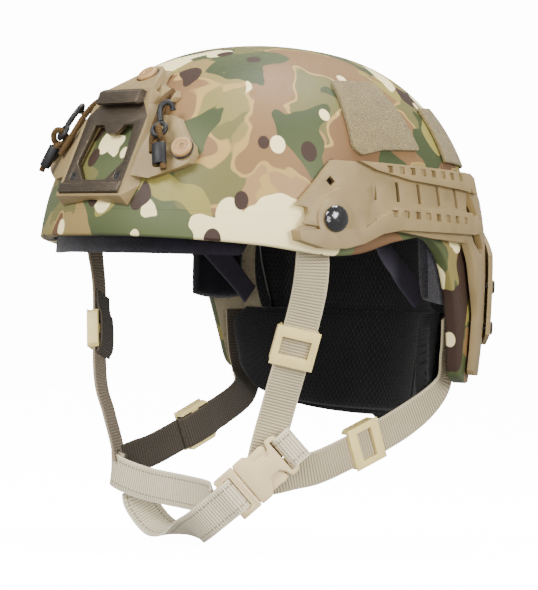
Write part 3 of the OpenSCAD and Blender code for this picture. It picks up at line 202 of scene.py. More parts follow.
class Paint:
    """A material built from nodes."""

    def __init__(self, name, **fixed):
        self.material = bpy.data.materials.new(name)
        self.material.use_nodes = True
        self.tree = self.material.node_tree
        self.shader = self.tree.nodes["Principled BSDF"]
        for socket, value in fixed.items():
            self.shader.inputs[socket.replace("_", " ")].default_value = value

    def node(self, kind, settings=None, values=None, output=0):
        """Any node, from its type, its settings and the values or links of its sockets."""
        made = self.tree.nodes.new(kind)
        for key, value in (settings or {}).items():
            setattr(made, key, value)
        for key, value in (values or {}).items():
            self.put(made.inputs[key], value)
        return Wire(self, made.outputs[output])

    def put(self, socket, value):
        if isinstance(value, Wire):
            self.tree.links.new(value.socket, socket)
        elif isinstance(value, tuple) and len(value) == 3 and socket.type == "RGBA":
            socket.default_value = (*value, 1)
        else:
            socket.default_value = value

    def set(self, **values):
        for key, value in values.items():
            self.put(self.shader.inputs[key.replace("_", " ")], value)
        return self

    def place(self):
        return self.node("ShaderNodeTexCoord", output="Object")

    def weave_place(self):
        return self.node("ShaderNodeTexCoord", output="UV")

    def parts(self, vector):
        split = self.node("ShaderNodeSeparateXYZ", None, {"Vector": vector})
        outputs = split.socket.node.outputs
        return [Wire(self, outputs[i]) for i in range(3)]

    def moved(self, vector, shift=(0, 0, 0), turn=(0, 0, 0), scale=(1, 1, 1)):
        return self.node("ShaderNodeMapping", None,
                         {"Vector": vector, "Location": shift, "Rotation": turn, "Scale": scale})

    def noise(self, vector, scale, detail=2.0, rough=0.5):
        return self.node("ShaderNodeTexNoise", None,
                         {"Vector": vector, "Scale": scale, "Detail": detail, "Roughness": rough})

    def cells(self, vector, scale):
        return self.node("ShaderNodeTexVoronoi", None, {"Vector": vector, "Scale": scale})

    def mix(self, first, second, factor):
        return self.node("ShaderNodeMix", {"data_type": "RGBA"}, {0: factor, 6: first, 7: second}, 2)

    def warped(self, vector, scale, amount):
        """The place pushed about by a noise, so that a pattern on it gets ragged edges."""
        swirl = self.node("ShaderNodeTexNoise", None, {"Vector": vector, "Scale": scale, "Detail": 1.0}, 1)
        push = self.node("ShaderNodeVectorMath", {"operation": "MULTIPLY_ADD"},
                         {0: swirl, 1: (amount,) * 3, 2: (-amount / 2,) * 3})
        return self.node("ShaderNodeVectorMath", {"operation": "ADD"}, {0: vector, 1: push})

    def blots(self, vector, shift, scale, detail, start, end):
        """Blots, 0 outside and 1 inside, with a soft edge between two levels."""
        return self.noise(self.moved(vector, shift), scale, detail).step(start, end)

    def relief(self, height, depth, strength=1.0, under=None):
        values = {"Height": height, "Distance": depth, "Strength": strength}
        if under is not None:
            values["Normal"] = under
        return self.node("ShaderNodeBump", None, values)


def colour(red, green, blue):
    """Linear colour from the 0 to 255 values seen in a photograph."""
    return tuple(((c / 255 + 0.055) / 1.055) ** 2.4 if c > 10 else c / 3295 for c in (red, green, blue))


# Colours of the camouflage
PALE_TAN, KHAKI, MOSS = colour(155, 122, 80), colour(130, 119, 66), colour(106, 101, 58)
BROWN, ROSE, HALO = colour(98, 71, 46), colour(130, 100, 64), colour(172, 142, 80)
LIME, CREAM, DARK = colour(140, 130, 66), colour(250, 232, 172), colour(56, 40, 31)
GREEN, DEEP_GREEN = colour(80, 88, 54), colour(60, 69, 40)


def camouflage():
    """Blobs of woodland colours on a ground that fades from tan to khaki, with pebbles and a paler brim."""
    paint = Paint("camouflage", Specular_IOR_Level=0.28)
    place = paint.place()
    height = paint.parts(place)[2]
    broad = paint.warped(paint.warped(place, 17, 0.046), 56, 0.015)
    fine = paint.warped(place, 40, 0.014)
    fade = paint.blots(place, (0.3, 0.1, 0.7), 8, 0.5, 0.4, 0.6)
    moss = paint.blots(broad, (2.1, 0.4, 0.2), 16, 1.3, 0.535, 0.54)
    ground = paint.mix(paint.mix(PALE_TAN, KHAKI, fade), MOSS, moss)
    bark = paint.noise(paint.moved(broad, (3.2, 0.7, 1.9)), 17, 1.3)
    ruddy = paint.blots(place, (0.9, 1.4, 0.1), 9, 0.5, 0.4, 0.62)
    ground = paint.mix(ground, HALO, bark.step(0.505, 0.509))
    ground = paint.mix(ground, paint.mix(BROWN, ROSE, ruddy), bark.step(0.518, 0.522))
    leaf = paint.blots(broad, (4.4, 0.3, 2.9), 20, 1.3, 0.508, 0.513)
    shade = paint.blots(place, (1.4, 0.2, 0.3), 11, 0.5, 0.38, 0.62)
    ground = paint.mix(ground, paint.mix(GREEN, DEEP_GREEN, shade), leaf)
    ground = paint.mix(ground, LIME, paint.blots(fine, (5.2, 2.7, 0.3), 23, 1.0, 0.63, 0.635))
    low = 1 - height.step(0.012, 0.034)
    cream = paint.noise(paint.moved(broad, (6.1, 1.2, 4.4), scale=(1, 1, 0.75)), 21, 0.9)
    ground = paint.mix(ground, CREAM, (cream + low * 0.06).step(0.64, 0.645))
    twig = paint.noise(paint.moved(fine, (1.7, 4.1, 2.2), (0.2, 0.5, 0.3), (1, 1.4, 0.7)), 27, 0.6)
    ground = paint.mix(ground, DARK, twig.step(0.67, 0.675))
    for shift, scale, size, tint in ((7.3, 25, 0.19, CREAM), (3.1, 31, 0.15, DARK), (9.4, 33, 0.14, CREAM)):
        tall = paint.moved(place, (shift, shift * 0.7, shift * 1.3), scale=(1, 1, 0.72))
        pebbles = 1 - paint.cells(tall, scale).step(size, size + 0.015)
        ground = paint.mix(ground, tint, pebbles)
    seam = 1 - (height - PARTING_Z * MM).abs().step(0.0001, 0.0005)
    grain = paint.noise(place, 1400, 3)
    normal = paint.relief(seam, 0.00015, 0.6, paint.relief(grain, 0.00005, 0.5))
    dust = paint.noise(place, 260, 4).step(0.3, 0.7)
    soiled = paint.mix(ground, colour(60, 52, 40), 0.3)
    paint.set(Base_Color=paint.mix(ground, soiled, seam * 0.3 + dust * 0.05), Roughness=0.46 + dust * 0.1,
              Normal=normal)
    return paint.material


def painted_inside():
    """The shell's inner face: a speckled tan coat."""
    paint = Paint("painted_inside", Specular_IOR_Level=0.3)
    place = paint.place()
    speck = paint.noise(place, 420, 3)
    cloud = paint.noise(place, 30, 3).step(0.35, 0.65)
    coat = paint.mix(colour(150, 138, 112), colour(170, 158, 130), cloud)
    paint.set(Base_Color=paint.mix(coat, colour(92, 84, 70), speck.step(0.56, 0.7) * 0.4),
              Roughness=0.62 + speck * 0.15, Normal=paint.relief(speck, 0.0002, 0.6))
    return paint.material


def moulded(name, base, worn, rough=0.5, grain=900):
    """Moulded plastic with a fine spark texture, and its rubbed edge."""
    made = []
    for edge in (False, True):
        paint = Paint(name + ("_edge" if edge else ""), Specular_IOR_Level=0.4)
        place = paint.place()
        cloud = paint.noise(place, 55, 4).step(0.3, 0.72)
        spark = paint.noise(place, grain, 2)
        rub = paint.noise(place, 220, 4).step(0.42, 0.62)
        tone = paint.mix(base, tuple(c * 0.86 for c in base), cloud)
        if edge:
            tone = paint.mix(tone, worn, rub * 0.7 + 0.15)
        paint.set(Base_Color=tone, Roughness=rough + cloud * 0.08 - (0.08 if edge else 0.0) * rub,
                  Normal=paint.relief(spark, 0.00008, 0.55))
        made.append(paint.material)
    return made


def anodised():
    """Satin bronze with rubbed bevels."""
    made = []
    for edge in (False, True):
        paint = Paint("bronze_worn" if edge else "bronze", Metallic=0.55)
        place = paint.place()
        streak = paint.noise(paint.moved(place, scale=(1, 9, 9)), 160, 3)
        rub = paint.noise(place, 420, 4, 0.6)
        tone = paint.mix(colour(74, 64, 50), colour(62, 53, 42), streak.step(0.35, 0.65))
        if edge:
            tone = paint.mix(tone, colour(168, 152, 126), rub.step(0.36, 0.6) * 0.8)
        paint.set(Base_Color=tone, Roughness=0.4 + 0.1 * streak, Normal=paint.relief(rub, 0.00002, 0.5))
        made.append(paint.material)
    return made


def dark_hardware(name, base, rough, coat=0.0):
    """Dark bolts and screws, and the coated lace, with a little dust."""
    paint = Paint(name, Coat_Weight=coat, Coat_Roughness=0.06, Specular_IOR_Level=0.5)
    place = paint.place()
    dust = paint.noise(place, 500, 4)
    paint.set(Base_Color=paint.mix(base, colour(96, 90, 82), dust.step(0.56, 0.75) * 0.25),
              Roughness=rough + dust * 0.12, Normal=paint.relief(dust, 0.00003, 0.5))
    return paint.material


def loop_pile(name, light, dark):
    """Fuzzy loop fabric in two tones."""
    paint = Paint(name, Specular_IOR_Level=0.1, Sheen_Weight=0.25, Sheen_Roughness=0.6)
    place = paint.place()
    curls = paint.cells(paint.warped(place, 900, 0.0012), 1500)
    fuzz = paint.noise(place, 2300, 5, 0.7)
    patch = paint.noise(place, 130, 4, 0.6)
    tone = paint.mix(dark, light, (fuzz * 0.55 + curls * 0.5 + patch * 0.35).step(0.35, 1.0))
    paint.set(Base_Color=tone, Roughness=0.94, Normal=paint.relief(curls + fuzz, 0.0007, 1.0))
    return paint.material


# Knitted cover: the pitch of its holes across, and how much longer it is along
HOLE_PITCH, HOLE_STRETCH = 3.4, 1.6


def spacer_mesh(name, base, light):
    """Knitted cover with rows of small holes, read from the piece's own map in metres."""
    paint = Paint(name, Specular_IOR_Level=0.2, Sheen_Weight=0.12, Sheen_Roughness=0.5)
    across, along, _ = paint.parts(paint.weave_place())
    pitch, dots = HOLE_PITCH * MM, None
    for shift in (0.0, 0.5):
        dx = (across / pitch + shift).fract() - 0.5
        dy = ((along / (pitch * HOLE_STRETCH) + shift).fract() - 0.5) * HOLE_STRETCH
        hole = 1 - (dx * dx + dy * dy).step(0.018, 0.075)
        dots = hole if dots is None else dots.top(hole)
    knit = paint.noise(paint.place(), 1700, 2)
    worn = paint.noise(paint.place(), 40, 4)
    tone = paint.mix(base, light, worn.step(0.35, 0.75) * 0.35 + knit * 0.25)
    paint.set(Base_Color=paint.mix(tone, colour(6, 6, 7), dots * 0.85), Roughness=0.86,
              Normal=paint.relief(knit * 0.35 - dots, 0.0005, 0.9))
    return paint.material


def brushed_cloth(name, base, light):
    """Soft cloth with a short nap."""
    paint = Paint(name, Specular_IOR_Level=0.12, Sheen_Weight=0.35, Sheen_Roughness=0.45)
    place = paint.place()
    nap = paint.noise(place, 1900, 4, 0.65)
    soft = paint.noise(place, 70, 3)
    paint.set(Base_Color=paint.mix(base, light, nap.step(0.42, 0.75) * 0.6 + soft.step(0.4, 0.7) * 0.3),
              Roughness=0.95, Normal=paint.relief(nap, 0.0005, 0.9))
    return paint.material


# Webbing: the width of its columns of ribs, and its seams' pitch and distance from the edge
COLUMN_W, STITCH_PITCH, SEAM_IN = 2.5, 3.1, 3.3


def webbing_cloth(name, light, shade, rib_pitch=1.8, seams=False):
    """Ribbed nylon with a smooth selvedge at each side and, where wanted, a row of stitches along it."""
    paint = Paint(name, Specular_IOR_Level=0.3, Sheen_Weight=0.1)
    across, along, _ = paint.parts(paint.weave_place())
    column = (across / (COLUMN_W * MM)).fract()
    lift = (column - 0.5).abs() * 0.35
    rib = ((along / (rib_pitch * MM) + lift) * (2 * pi)).sine() * 0.5 + 0.5
    rim = across.low(WEB_W * MM - across).step(0.0004, 0.0014)
    thread = paint.noise(paint.moved(paint.weave_place(), scale=(1, 5, 1)), 900, 3)
    body = paint.mix(shade, light, rib.step(0.1, 0.8) * 0.7 + thread * 0.35)
    soil = paint.noise(paint.place(), 60, 4).step(0.4, 0.75)
    tone = paint.mix(body, tuple(c * 0.82 for c in light), soil * 0.3)
    if seams:
        near = (across - SEAM_IN * MM).abs().low((WEB_W * MM - SEAM_IN * MM - across).abs())
        dash = ((along / (STITCH_PITCH * MM)).fract() - 0.5).abs().step(0.12, 0.2)
        stitch = (1 - near.step(0.0003, 0.0006)) * dash
        tone = paint.mix(tone, tuple(c * 0.45 for c in shade), stitch * 0.7)
    paint.set(Base_Color=paint.mix(tuple(c * 0.9 for c in light), tone, rim), Roughness=0.72,
              Normal=paint.relief(rib * rim + (column - 0.5).abs() * 0.5 + thread * 0.2, 0.00035, 0.8))
    return paint.material


# Braided cord: strands each way round it, and their pitch along it
CORD_STRANDS, CORD_PITCH = 8, 2.2


def braided(name, ground, fleck):
    """Braided cord: two sets of strands that cross, painted shade in the gaps between them, and flecks where
    they meet.
    """
    paint = Paint(name, Specular_IOR_Level=0.2)
    around, along, _ = paint.parts(paint.weave_place())
    turns, rows = around * CORD_STRANDS, along / (CORD_PITCH * MM)
    left = ((turns + rows) * (2 * pi)).sine() * 0.5 + 0.5
    right = ((turns - rows) * (2 * pi)).sine() * 0.5 + 0.5
    over = left.top(right)
    dots = (left * right).step(0.45, 0.7)
    # The gaps between strands are darker: painted shade in the braid's crevices
    braid = paint.mix(ground, colour(60, 44, 24), 1 - over)
    paint.set(Base_Color=paint.mix(braid, fleck, dots), Roughness=0.8, Normal=paint.relief(over, 0.0004, 0.8))
    return paint.material


def floor_paint():
    """White that glows as brightly as the world behind it."""
    paint = Paint("pale_floor", Roughness=0.9, Emission_Strength=WHITE_BEHIND)
    tone = paint.noise(paint.place(), 3, 2)
    paint.set(Base_Color=paint.mix((0.92, 0.92, 0.92), (0.95, 0.95, 0.95), tone), Emission_Color=(1, 1, 1))
    return paint.material


CAMOUFLAGE = camouflage()
INSIDE = painted_inside()
TAN, TAN_EDGE = moulded("tan_polymer", colour(142, 121, 81), colour(196, 174, 128))
BOLT_TAN, BOLT_EDGE = moulded("bolt_paint", colour(158, 120, 70), colour(196, 166, 122), 0.46)
BUCKLE_TAN, BUCKLE_EDGE = moulded("buckle_polymer", colour(228, 203, 152), colour(244, 222, 180), 0.42, 1300)
SLIDER_TAN, SLIDER_EDGE = moulded("slider_polymer", colour(244, 220, 142), colour(250, 234, 180), 0.42, 1300)
BRONZE, BRONZE_EDGE = anodised()
STEEL = dark_hardware("black_steel", colour(24, 23, 22), 0.34)
GLOSS = dark_hardware("black_gloss", colour(8, 8, 9), 0.12, 1.0)
BLACK, BLACK_EDGE = moulded("black_plastic", colour(24, 23, 22), colour(56, 54, 50), 0.45)
RUBBER, RUBBER_EDGE = moulded("black_rubber", colour(20, 20, 21), colour(40, 40, 40), 0.7)
SHRINK, SHRINK_EDGE = moulded("shrink_sleeve", colour(10, 11, 13), colour(27, 29, 32), 0.5, 600)
LOOP = loop_pile("loop_sand", colour(152, 131, 76), colour(88, 74, 38))
BROWN_LOOP = loop_pile("loop_brown", colour(112, 88, 58), colour(66, 50, 32))
MESH = spacer_mesh("spacer_mesh", colour(27, 27, 28), colour(44, 43, 44))
SUEDE = brushed_cloth("black_suede", colour(13, 11, 15), colour(38, 33, 46))
BAND = webbing_cloth("band_cloth", colour(58, 52, 66), colour(30, 27, 37), 1.1)
WEB_NEAR = webbing_cloth("webbing_near", colour(202, 188, 154), colour(126, 114, 88))
# The far and mid webbing are darker copies of the same webbing: painted shade for the far straps' inner sides
# and the far sliders' folds
WEB_FAR_PAINTED_SHADE = webbing_cloth("webbing_far_painted_shade", colour(72, 64, 52), colour(41, 36, 29))
WEB_MID_PAINTED_SHADE = webbing_cloth("webbing_mid_painted_shade", colour(152, 136, 113), colour(92, 82, 67))
WEB_CHIN = webbing_cloth("webbing_chin", colour(236, 224, 192), colour(160, 146, 116), seams=True)
CORD = braided("braided_cord", colour(100, 76, 42), colour(34, 30, 24))


# Curves of the part's source
def spow(value, power):
    """A power that keeps the value's sign."""
    return (abs(value) ** power) * (1 if value >= 0 else -1)


def blend(a, b, s):
    return a + (b - a) * s


def rise(z, d=0.0):
    """The plan's size at a height, as a share of its widest."""
    if z > WAIST_Z:
        q = min(1.0, (z - WAIST_Z) / (CROWN_H + d - WAIST_Z))
        return cos(asin(q ** (RISE_POWER / 2))) ** (2 / RISE_POWER)
    return 1 - LOW_DRAW * ((WAIST_Z - z) / 60) ** 2


def half_l(front, d, z):
    """The plan's reach to the front or to the rear, before its rise."""
    return (SHELL_FRONT * (1 - FRONT_DRAW * (max(0.0, z) / CROWN_H) ** 1.4) if front else SHELL_REAR) + d


def shell_at(turn, z, d=0.0):
    """Point of the shell's outside, offset outwards by d, at a turn from the front and a height."""
    a, s, k = radians(turn), rise(z, d), 2 / PLAN_POWER
    return Vector(((SHELL_HALF_W + d) * spow(sin(a), k) * s,
                   -half_l(cos(a) > 0, d, z) * spow(cos(a), k) * s + LEAN * z / CROWN_H, z))


def side_x(y, z, d=0.0):
    """How far out the shell's side lies."""
    lean, s = LEAN * z / CROWN_H, rise(z, d)
    q = abs(y - lean) / (half_l(y < lean, d, z) * s)
    return (SHELL_HALF_W + d) * s * max(0.0, 1 - q ** PLAN_POWER) ** (1 / PLAN_POWER)


def front_y(z):
    """Where the shell's front lies on the middle line."""
    return -half_l(True, 0, z) * rise(z) + LEAN * z / CROWN_H


def top_z(x, y, d=0.0):
    """How high the shell lies over a place, found in a few rounds."""
    yy, z = y - LEAN, CROWN_H * 0.9
    for _ in range(4):
        s = ((abs(x) / (SHELL_HALF_W + d)) ** PLAN_POWER
             + (abs(yy) / half_l(yy < 0, d, z)) ** PLAN_POWER) ** (1 / PLAN_POWER)
        z = WAIST_Z + (CROWN_H + d - WAIST_Z) * max(0.0, 1 - s ** RISE_POWER) ** (1 / RISE_POWER)
    return z


def curve_through(points, x):
    """Smooth curve through (x, value) points, as the source's own."""
    i = max([k for k in range(len(points) - 1) if points[k][0] <= x] or [0])
    h = points[i + 1][0] - points[i][0]
    s = min(1.0, max(0.0, (x - points[i][0]) / h))

    def slope(k):
        if k in (0, len(points) - 1):
            return 0.0
        return (points[k + 1][1] - points[k - 1][1]) / (points[k + 1][0] - points[k - 1][0])

    return ((2 * s ** 3 - 3 * s * s + 1) * points[i][1] + (s ** 3 - 2 * s * s + s) * h * slope(i)
            + (3 * s * s - 2 * s ** 3) * points[i + 1][1] + (s ** 3 - s * s) * h * slope(i + 1))


# The rim's height at each turn from the front
RIM = [(0, 1), (30, 0.4), (52, -1.2), (64, -3.6), (72, -4.8), (80, -2), (88, 5.39), (93, 9.016), (97, 9.8),
       (101, 6.37), (105.5, -3), (108.5, -15), (111.5, -31), (114.5, -51), (117, -67), (120.5, -72),
       (127, -74), (180, -73)]


def rim_z(turn):
    return curve_through(RIM, turn if turn <= 180 else 360 - turn)


def fall(z, d):
    """Angle down from the crown to a height, which spaces the shell's rows evenly."""
    if z >= WAIST_Z:
        q = min(1.0, (z - WAIST_Z) / (CROWN_H + d - WAIST_Z))
        return 90 - degrees(asin(q ** (RISE_POWER / 2)))
    return 90 + (WAIST_Z - z) * 0.5


def fall_z(angle, d):
    """Height at such an angle."""
    if angle <= 90:
        return WAIST_Z + (CROWN_H + d - WAIST_Z) * sin(radians(90 - angle)) ** (2 / RISE_POWER)
    return WAIST_Z - (angle - 90) / 0.5


# The shroud sits on an arc through the shell's front and a point to its side, at one height
ARC_X, ARC_Z = 56, 50
ARC_SHARE = (1 - (ARC_X / (SHELL_HALF_W * rise(ARC_Z))) ** PLAN_POWER) ** (1 / PLAN_POWER)
ARC_Y = -half_l(True, 0, ARC_Z) * rise(ARC_Z) * ARC_SHARE + LEAN * ARC_Z / CROWN_H
ARC_CENTRE = (front_y(ARC_Z) ** 2 - ARC_X ** 2 - ARC_Y ** 2) / (2 * (front_y(ARC_Z) - ARC_Y))


def on_front(x, z, d):
    """Point over the shell's front, d off its face."""
    radius = ARC_CENTRE - front_y(z)
    lift = atan((front_y(z + 1) - front_y(z - 1)) / 2)
    turn = asin(x / radius)
    reach = radius + d * cos(lift)
    return Vector((reach * sin(turn), ARC_CENTRE - reach * cos(turn), z + d * sin(lift)))


def nape_at(turn, z, d=0.0):
    """Point of the nape support's inner face, offset outwards by d."""
    a, k = radians(turn), 2 / PLAN_POWER
    return Vector(((NAPE_HALF_W + d) * spow(sin(a), k),
                   -(NAPE_REAR + d) * spow(cos(a), k) - (NAPE_TOP - z) * tan(radians(NAPE_TILT)), z))


# The nape support's lower edge, by its turn from the middle
NAPE_EDGE = [(0, -95), (20, -94.5), (36, -92), (50, -86), (57, -74), (63, -56)]


def nape_low(turn):
    return curve_through(NAPE_EDGE, min(63, abs(turn)))


# Modelling helpers
# Vertices closer than this in metres are merged: in a cord, a copy of a CAD node, a sheet and a cushion
NEAR_CORD, NEAR_CAD, NEAR_SHEET, NEAR_PAD = 0.000001, 0.000002, 0.00001, 0.00002


def pick(piece):
    bpy.ops.object.select_all(action="DESELECT")
    piece.select_set(True)
    bpy.context.view_layer.objects.active = piece


def modify(piece, kind, **settings):
    """Adds a modifier with its settings, and applies it."""
    pick(piece)
    modifier = piece.modifiers.new(kind.lower(), kind)
    for key, value in settings.items():
        setattr(modifier, key, value)
    bpy.ops.object.modifier_apply(modifier=modifier.name)


def joined(first, *others):
    """Makes the others part of the first piece."""
    pick(first)
    for other in others:
        other.select_set(True)
    bpy.ops.object.join()
    return first


def edit(piece, *steps):
    """Runs edit-mode operators on everything in the piece."""
    pick(piece)
    bpy.ops.object.mode_set(mode="EDIT")
    everything()
    for step in steps:
        step()
    bpy.ops.object.mode_set(mode="OBJECT")


def everything():
    bpy.ops.mesh.select_all(action="SELECT")


def face_out():
    bpy.ops.mesh.normals_make_consistent(inside=False)


def bevel(piece, width, sharp, segments=2, **more):
    """Rounds the edges that are sharper than an angle in degrees."""
    modify(piece, "BEVEL", width=width * MM, segments=segments, limit_method="ANGLE",
           angle_limit=radians(sharp), **more)


def smooth(piece, angle):
    """Smooth shading, but with a crease where faces differ by more than the angle."""
    pick(piece)
    bpy.ops.object.shade_smooth_by_angle(angle=radians(angle))


def surface(name, place, columns, rows, size=(1.0, 1.0)):
    """A grid shaped by place(across, along), each from 0 to 1, with its map in metres."""
    bpy.ops.object.select_all(action="DESELECT")
    bpy.ops.mesh.primitive_grid_add(x_subdivisions=columns, y_subdivisions=rows, size=1)
    piece = bpy.context.object
    piece.name = piece.data.name = name
    for vertex in piece.data.vertices:
        vertex.co = Vector(place(vertex.co.x + 0.5, vertex.co.y + 0.5)) * MM
    for loop in piece.data.uv_layers.active.data:
        loop.uv = (loop.uv[0] * size[0] * MM, loop.uv[1] * size[1] * MM)
    return piece


def flat(name, points):
    """One face with a vertex at each point."""
    bpy.ops.object.select_all(action="DESELECT")
    bpy.ops.mesh.primitive_circle_add(vertices=len(points), fill_type="NGON")
    piece = bpy.context.object
    piece.name = piece.data.name = name
    for vertex, point in zip(piece.data.vertices, points):
        vertex.co = point
    return piece


def weld(piece, near=NEAR_SHEET):
    """Merges near vertices and turns the faces out."""
    edit(piece, lambda: bpy.ops.mesh.remove_doubles(threshold=near), face_out)


def give(piece, paints):
    """Sets the piece's paints in order, and keeps which face has which."""
    chosen = [face.material_index for face in piece.data.polygons]
    piece.data.materials.clear()
    for material in paints:
        piece.data.materials.append(material)
    for face, index in zip(piece.data.polygons, chosen):
        face.material_index = min(index, len(paints) - 1)


def finished(piece, *nodes, paints=(), body=None):
    """Gives the piece its materials and its body, and hides the CAD nodes it stands for."""
    give(piece, paints)
    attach(piece, body or body_of[nodes[0]])
    if nodes:
        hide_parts(*nodes)
    return piece


# Edges sharper than this are rounded, and faces that differ by less than this are merged
SHARP, FLAT = 32, 1.5


def refined(node, paints, width):
    """A copy of a CAD node, merged and with its edges rounded."""
    source = frame["nodes"][node]
    pick(source)
    bpy.ops.object.duplicate()
    piece = bpy.context.object
    world = source.matrix_world.copy()
    bpy.ops.object.parent_clear(type="CLEAR")
    piece.matrix_world = Matrix()
    piece.data.transform(world)
    piece.name = piece.data.name = node + "_part"
    piece.hide_render = False
    give(piece, paints)
    for face in piece.data.polygons:
        face.material_index = 0
    edit(piece, lambda: bpy.ops.mesh.remove_doubles(threshold=NEAR_CAD),
         lambda: bpy.ops.mesh.dissolve_limited(angle_limit=radians(FLAT)))
    if width:
        bevel(piece, width, SHARP, use_clamp_overlap=True, harden_normals=False, material=len(paints) - 1)
    smooth(piece, 40)
    return finished(piece, node, paints=paints)


# Floor: its width and its gap below the lowest strap, in metres
FLOOR_W, FLOOR_GAP = 9, 0.002


def lay_floor():
    bpy.ops.object.select_all(action="DESELECT")
    bpy.ops.mesh.primitive_plane_add(size=FLOOR_W, location=(0, 0, cad_box[0][2] - FLOOR_GAP))
    floor = bpy.context.object
    floor.name = "floor"
    floor.data.materials.append(floor_paint())
    floor.visible_diffuse = floor.visible_glossy = False


lay_floor()


# Shell
# Turns of the shell's main columns, closer together at the ear cut, and the columns between two of them
HALF_COLUMNS = ([6 * k for k in range(17)] + [98 + 1.25 * k for k in range(19)]
                + [126 + 6.5 * k for k in range(8)])
COLUMN_TURNS = HALF_COLUMNS + [180] + [360 - t for t in reversed(HALF_COLUMNS)]
COLUMN_SPLIT = 4
# Rows of the shell outside and inside, the angles that round its rim, and the rounding's radius
OUTER_ROWS, INNER_ROWS = 52, 40
ROUND_ANGLES = [radians(a) for a in (0, 22, 45, 68, 90)]
EDGE_R = 1.7
# The rim's slope is measured this many degrees either way, and draws the rounding out by this much at most
SLOPE_OVER, STEEPEST = 0.2, 5
# The last row before the rounding stays this share of the way down
CLEAR_OF_ROUND = OUTER_ROWS / (OUTER_ROWS + 0.5)
# The inner paint starts after the rim's outer rounding and three rows of its inner one
FIRST_INSIDE = OUTER_ROWS + len(ROUND_ANGLES) + 3


def shell_section():
    """Rows down the outside, round the rim and up the inside: (share of the fall, depth, lift)."""
    rows = [(k / OUTER_ROWS, 0.0, 0.0) for k in range(OUTER_ROWS)]
    rows += [(1, -EDGE_R * (1 - cos(a)), EDGE_R * (1 - sin(a))) for a in ROUND_ANGLES]
    rows += [(1, -SHELL_WALL + EDGE_R * (1 - sin(a)), EDGE_R * (1 - cos(a))) for a in ROUND_ANGLES]
    return rows + [(k / INNER_ROWS, -SHELL_WALL, 0.0) for k in range(INNER_ROWS - 1, -1, -1)]


def make_shell():
    """The shell as one closed sheet: columns round it, and rows over the outside, rim and inside."""
    section = shell_section()
    columns = (len(COLUMN_TURNS) - 1) * COLUMN_SPLIT

    def place(u, v):
        i = u * (len(COLUMN_TURNS) - 1)
        k = min(int(i), len(COLUMN_TURNS) - 2)
        turn = blend(COLUMN_TURNS[k], COLUMN_TURNS[k + 1], i - k)
        share, d, lift = section[round(v * (len(section) - 1))]
        rim, before, after = rim_z(turn), turn - SLOPE_OVER, turn + SLOPE_OVER
        span = (shell_at(after, rim) - shell_at(before, rim)).to_2d().length
        steep = min(STEEPEST, hypot(1, (rim_z(after) - rim_z(before)) / max(span, 0.01)))
        if share == 1:
            return shell_at(turn, rim + lift * steep, d)
        return shell_at(turn, fall_z(fall(rim + EDGE_R * steep, d) * share * CLEAR_OF_ROUND, d), d)

    piece = surface("helmet_shell", place, columns, len(section) - 1)
    give(piece, [CAMOUFLAGE, INSIDE])
    for face in piece.data.polygons:
        face.material_index = 1 if face.index // columns >= FIRST_INSIDE else 0
    weld(piece)
    pick(piece)
    bpy.ops.object.shade_smooth()
    finished(piece, "shell", paints=[CAMOUFLAGE, INSIDE])


make_shell()


# Hard parts that keep the CAD's shape: nodes, paints for faces and edges, and the rounding's width
HARD_PARTS = (
    ("shroud_frame", [TAN, TAN_EDGE], 0.9),
    ("shroud_insert", [BRONZE, BRONZE_EDGE], 0.45),
    ("insert_screws", [STEEL], 0.2),
    ("shroud_bolts", [BOLT_TAN, BOLT_EDGE], 0.35),
    ("shroud_washers", [STEEL], 0.3),
    ("shroud_nuts", [STEEL], 0.4),
    ("bungee_hook_left bungee_hook_right", [BLACK], 0),
    ("bungee_sleeve_left bungee_sleeve_right", [SHRINK, SHRINK_EDGE], 0.5),
    ("rail_left rail_right", [TAN, TAN_EDGE], 0.7),
    ("rail_bolts", [GLOSS], 0.4),
    ("rail_nuts", [STEEL], 0.4),
    ("rail_bumpers", [RUBBER], 0.3),
    ("rear_plate", [TAN, TAN_EDGE], 0.7),
    ("rear_panel", [BROWN_LOOP], 0.5),
    ("rear_bolts", [STEEL], 0.4),
    ("pad_hook_discs", [BLACK], 0.2),
    ("nape_carrier", [BLACK], 0),
    ("dial_case", [BLACK, BLACK_EDGE], 0.6),
    ("dial_knob", [RUBBER, RUBBER_EDGE], 0.6),
    ("dial_spool", [BLACK], 0.3),
    ("strap_anchors", [STEEL], 0.4),
    ("slider_front_left slider_front_right slider_rear_left slider_rear_right",
     [SLIDER_TAN, SLIDER_EDGE], 1.0),
    ("buckle_prong", [BUCKLE_TAN, BUCKLE_EDGE], 0.8),
)
for nodes, paints, width in HARD_PARTS:
    for node in nodes.split():
        refined(node, paints, width)


# Cords and bands
def between(a, b, c, d, t):
    """Point at t, from 0 to 1, on the smooth curve from b to c, with a before and d after them."""
    return 0.5 * (2 * b + (c - a) * t + (2 * a - 5 * b + 4 * c - d) * t * t
                  + (3 * b - a - 3 * c + d) * t ** 3)


def smooth_path(points, steps):
    """A smooth curve through points, where each is a list of vectors that are carried along together."""
    out = []
    for i in range(len(points) - 1):
        near = [points[max(0, min(len(points) - 1, i + k))] for k in (-1, 0, 1, 2)]
        out += [[between(*group, j / steps) for group in zip(*near)] for j in range(steps)]
    return out + [points[-1]]


def swept(name, path, columns, width, across):
    """A sheet along a path: across(u, station, ahead) leads to its point at u, and width is its map's."""
    lengths, count = [0.0], len(path) - 1
    for a, b in zip(path, path[1:]):
        lengths.append(lengths[-1] + (b[0] - a[0]).length)

    def place(u, v):
        i = round(v * count)
        ahead = (path[min(count, i + 1)][0] - path[max(0, i - 1)][0]).normalized()
        return path[i][0] + across(u, path[i], ahead)

    piece = surface(name, place, columns, count)
    for loop in piece.data.uv_layers.active.data:
        loop.uv = (loop.uv[0] / MM * width, lengths[round(loop.uv[1] / MM * count)] * MM)
    return piece


# A direction that no cord runs in
ASIDE = Vector((0.31, 0.2, 0.93))


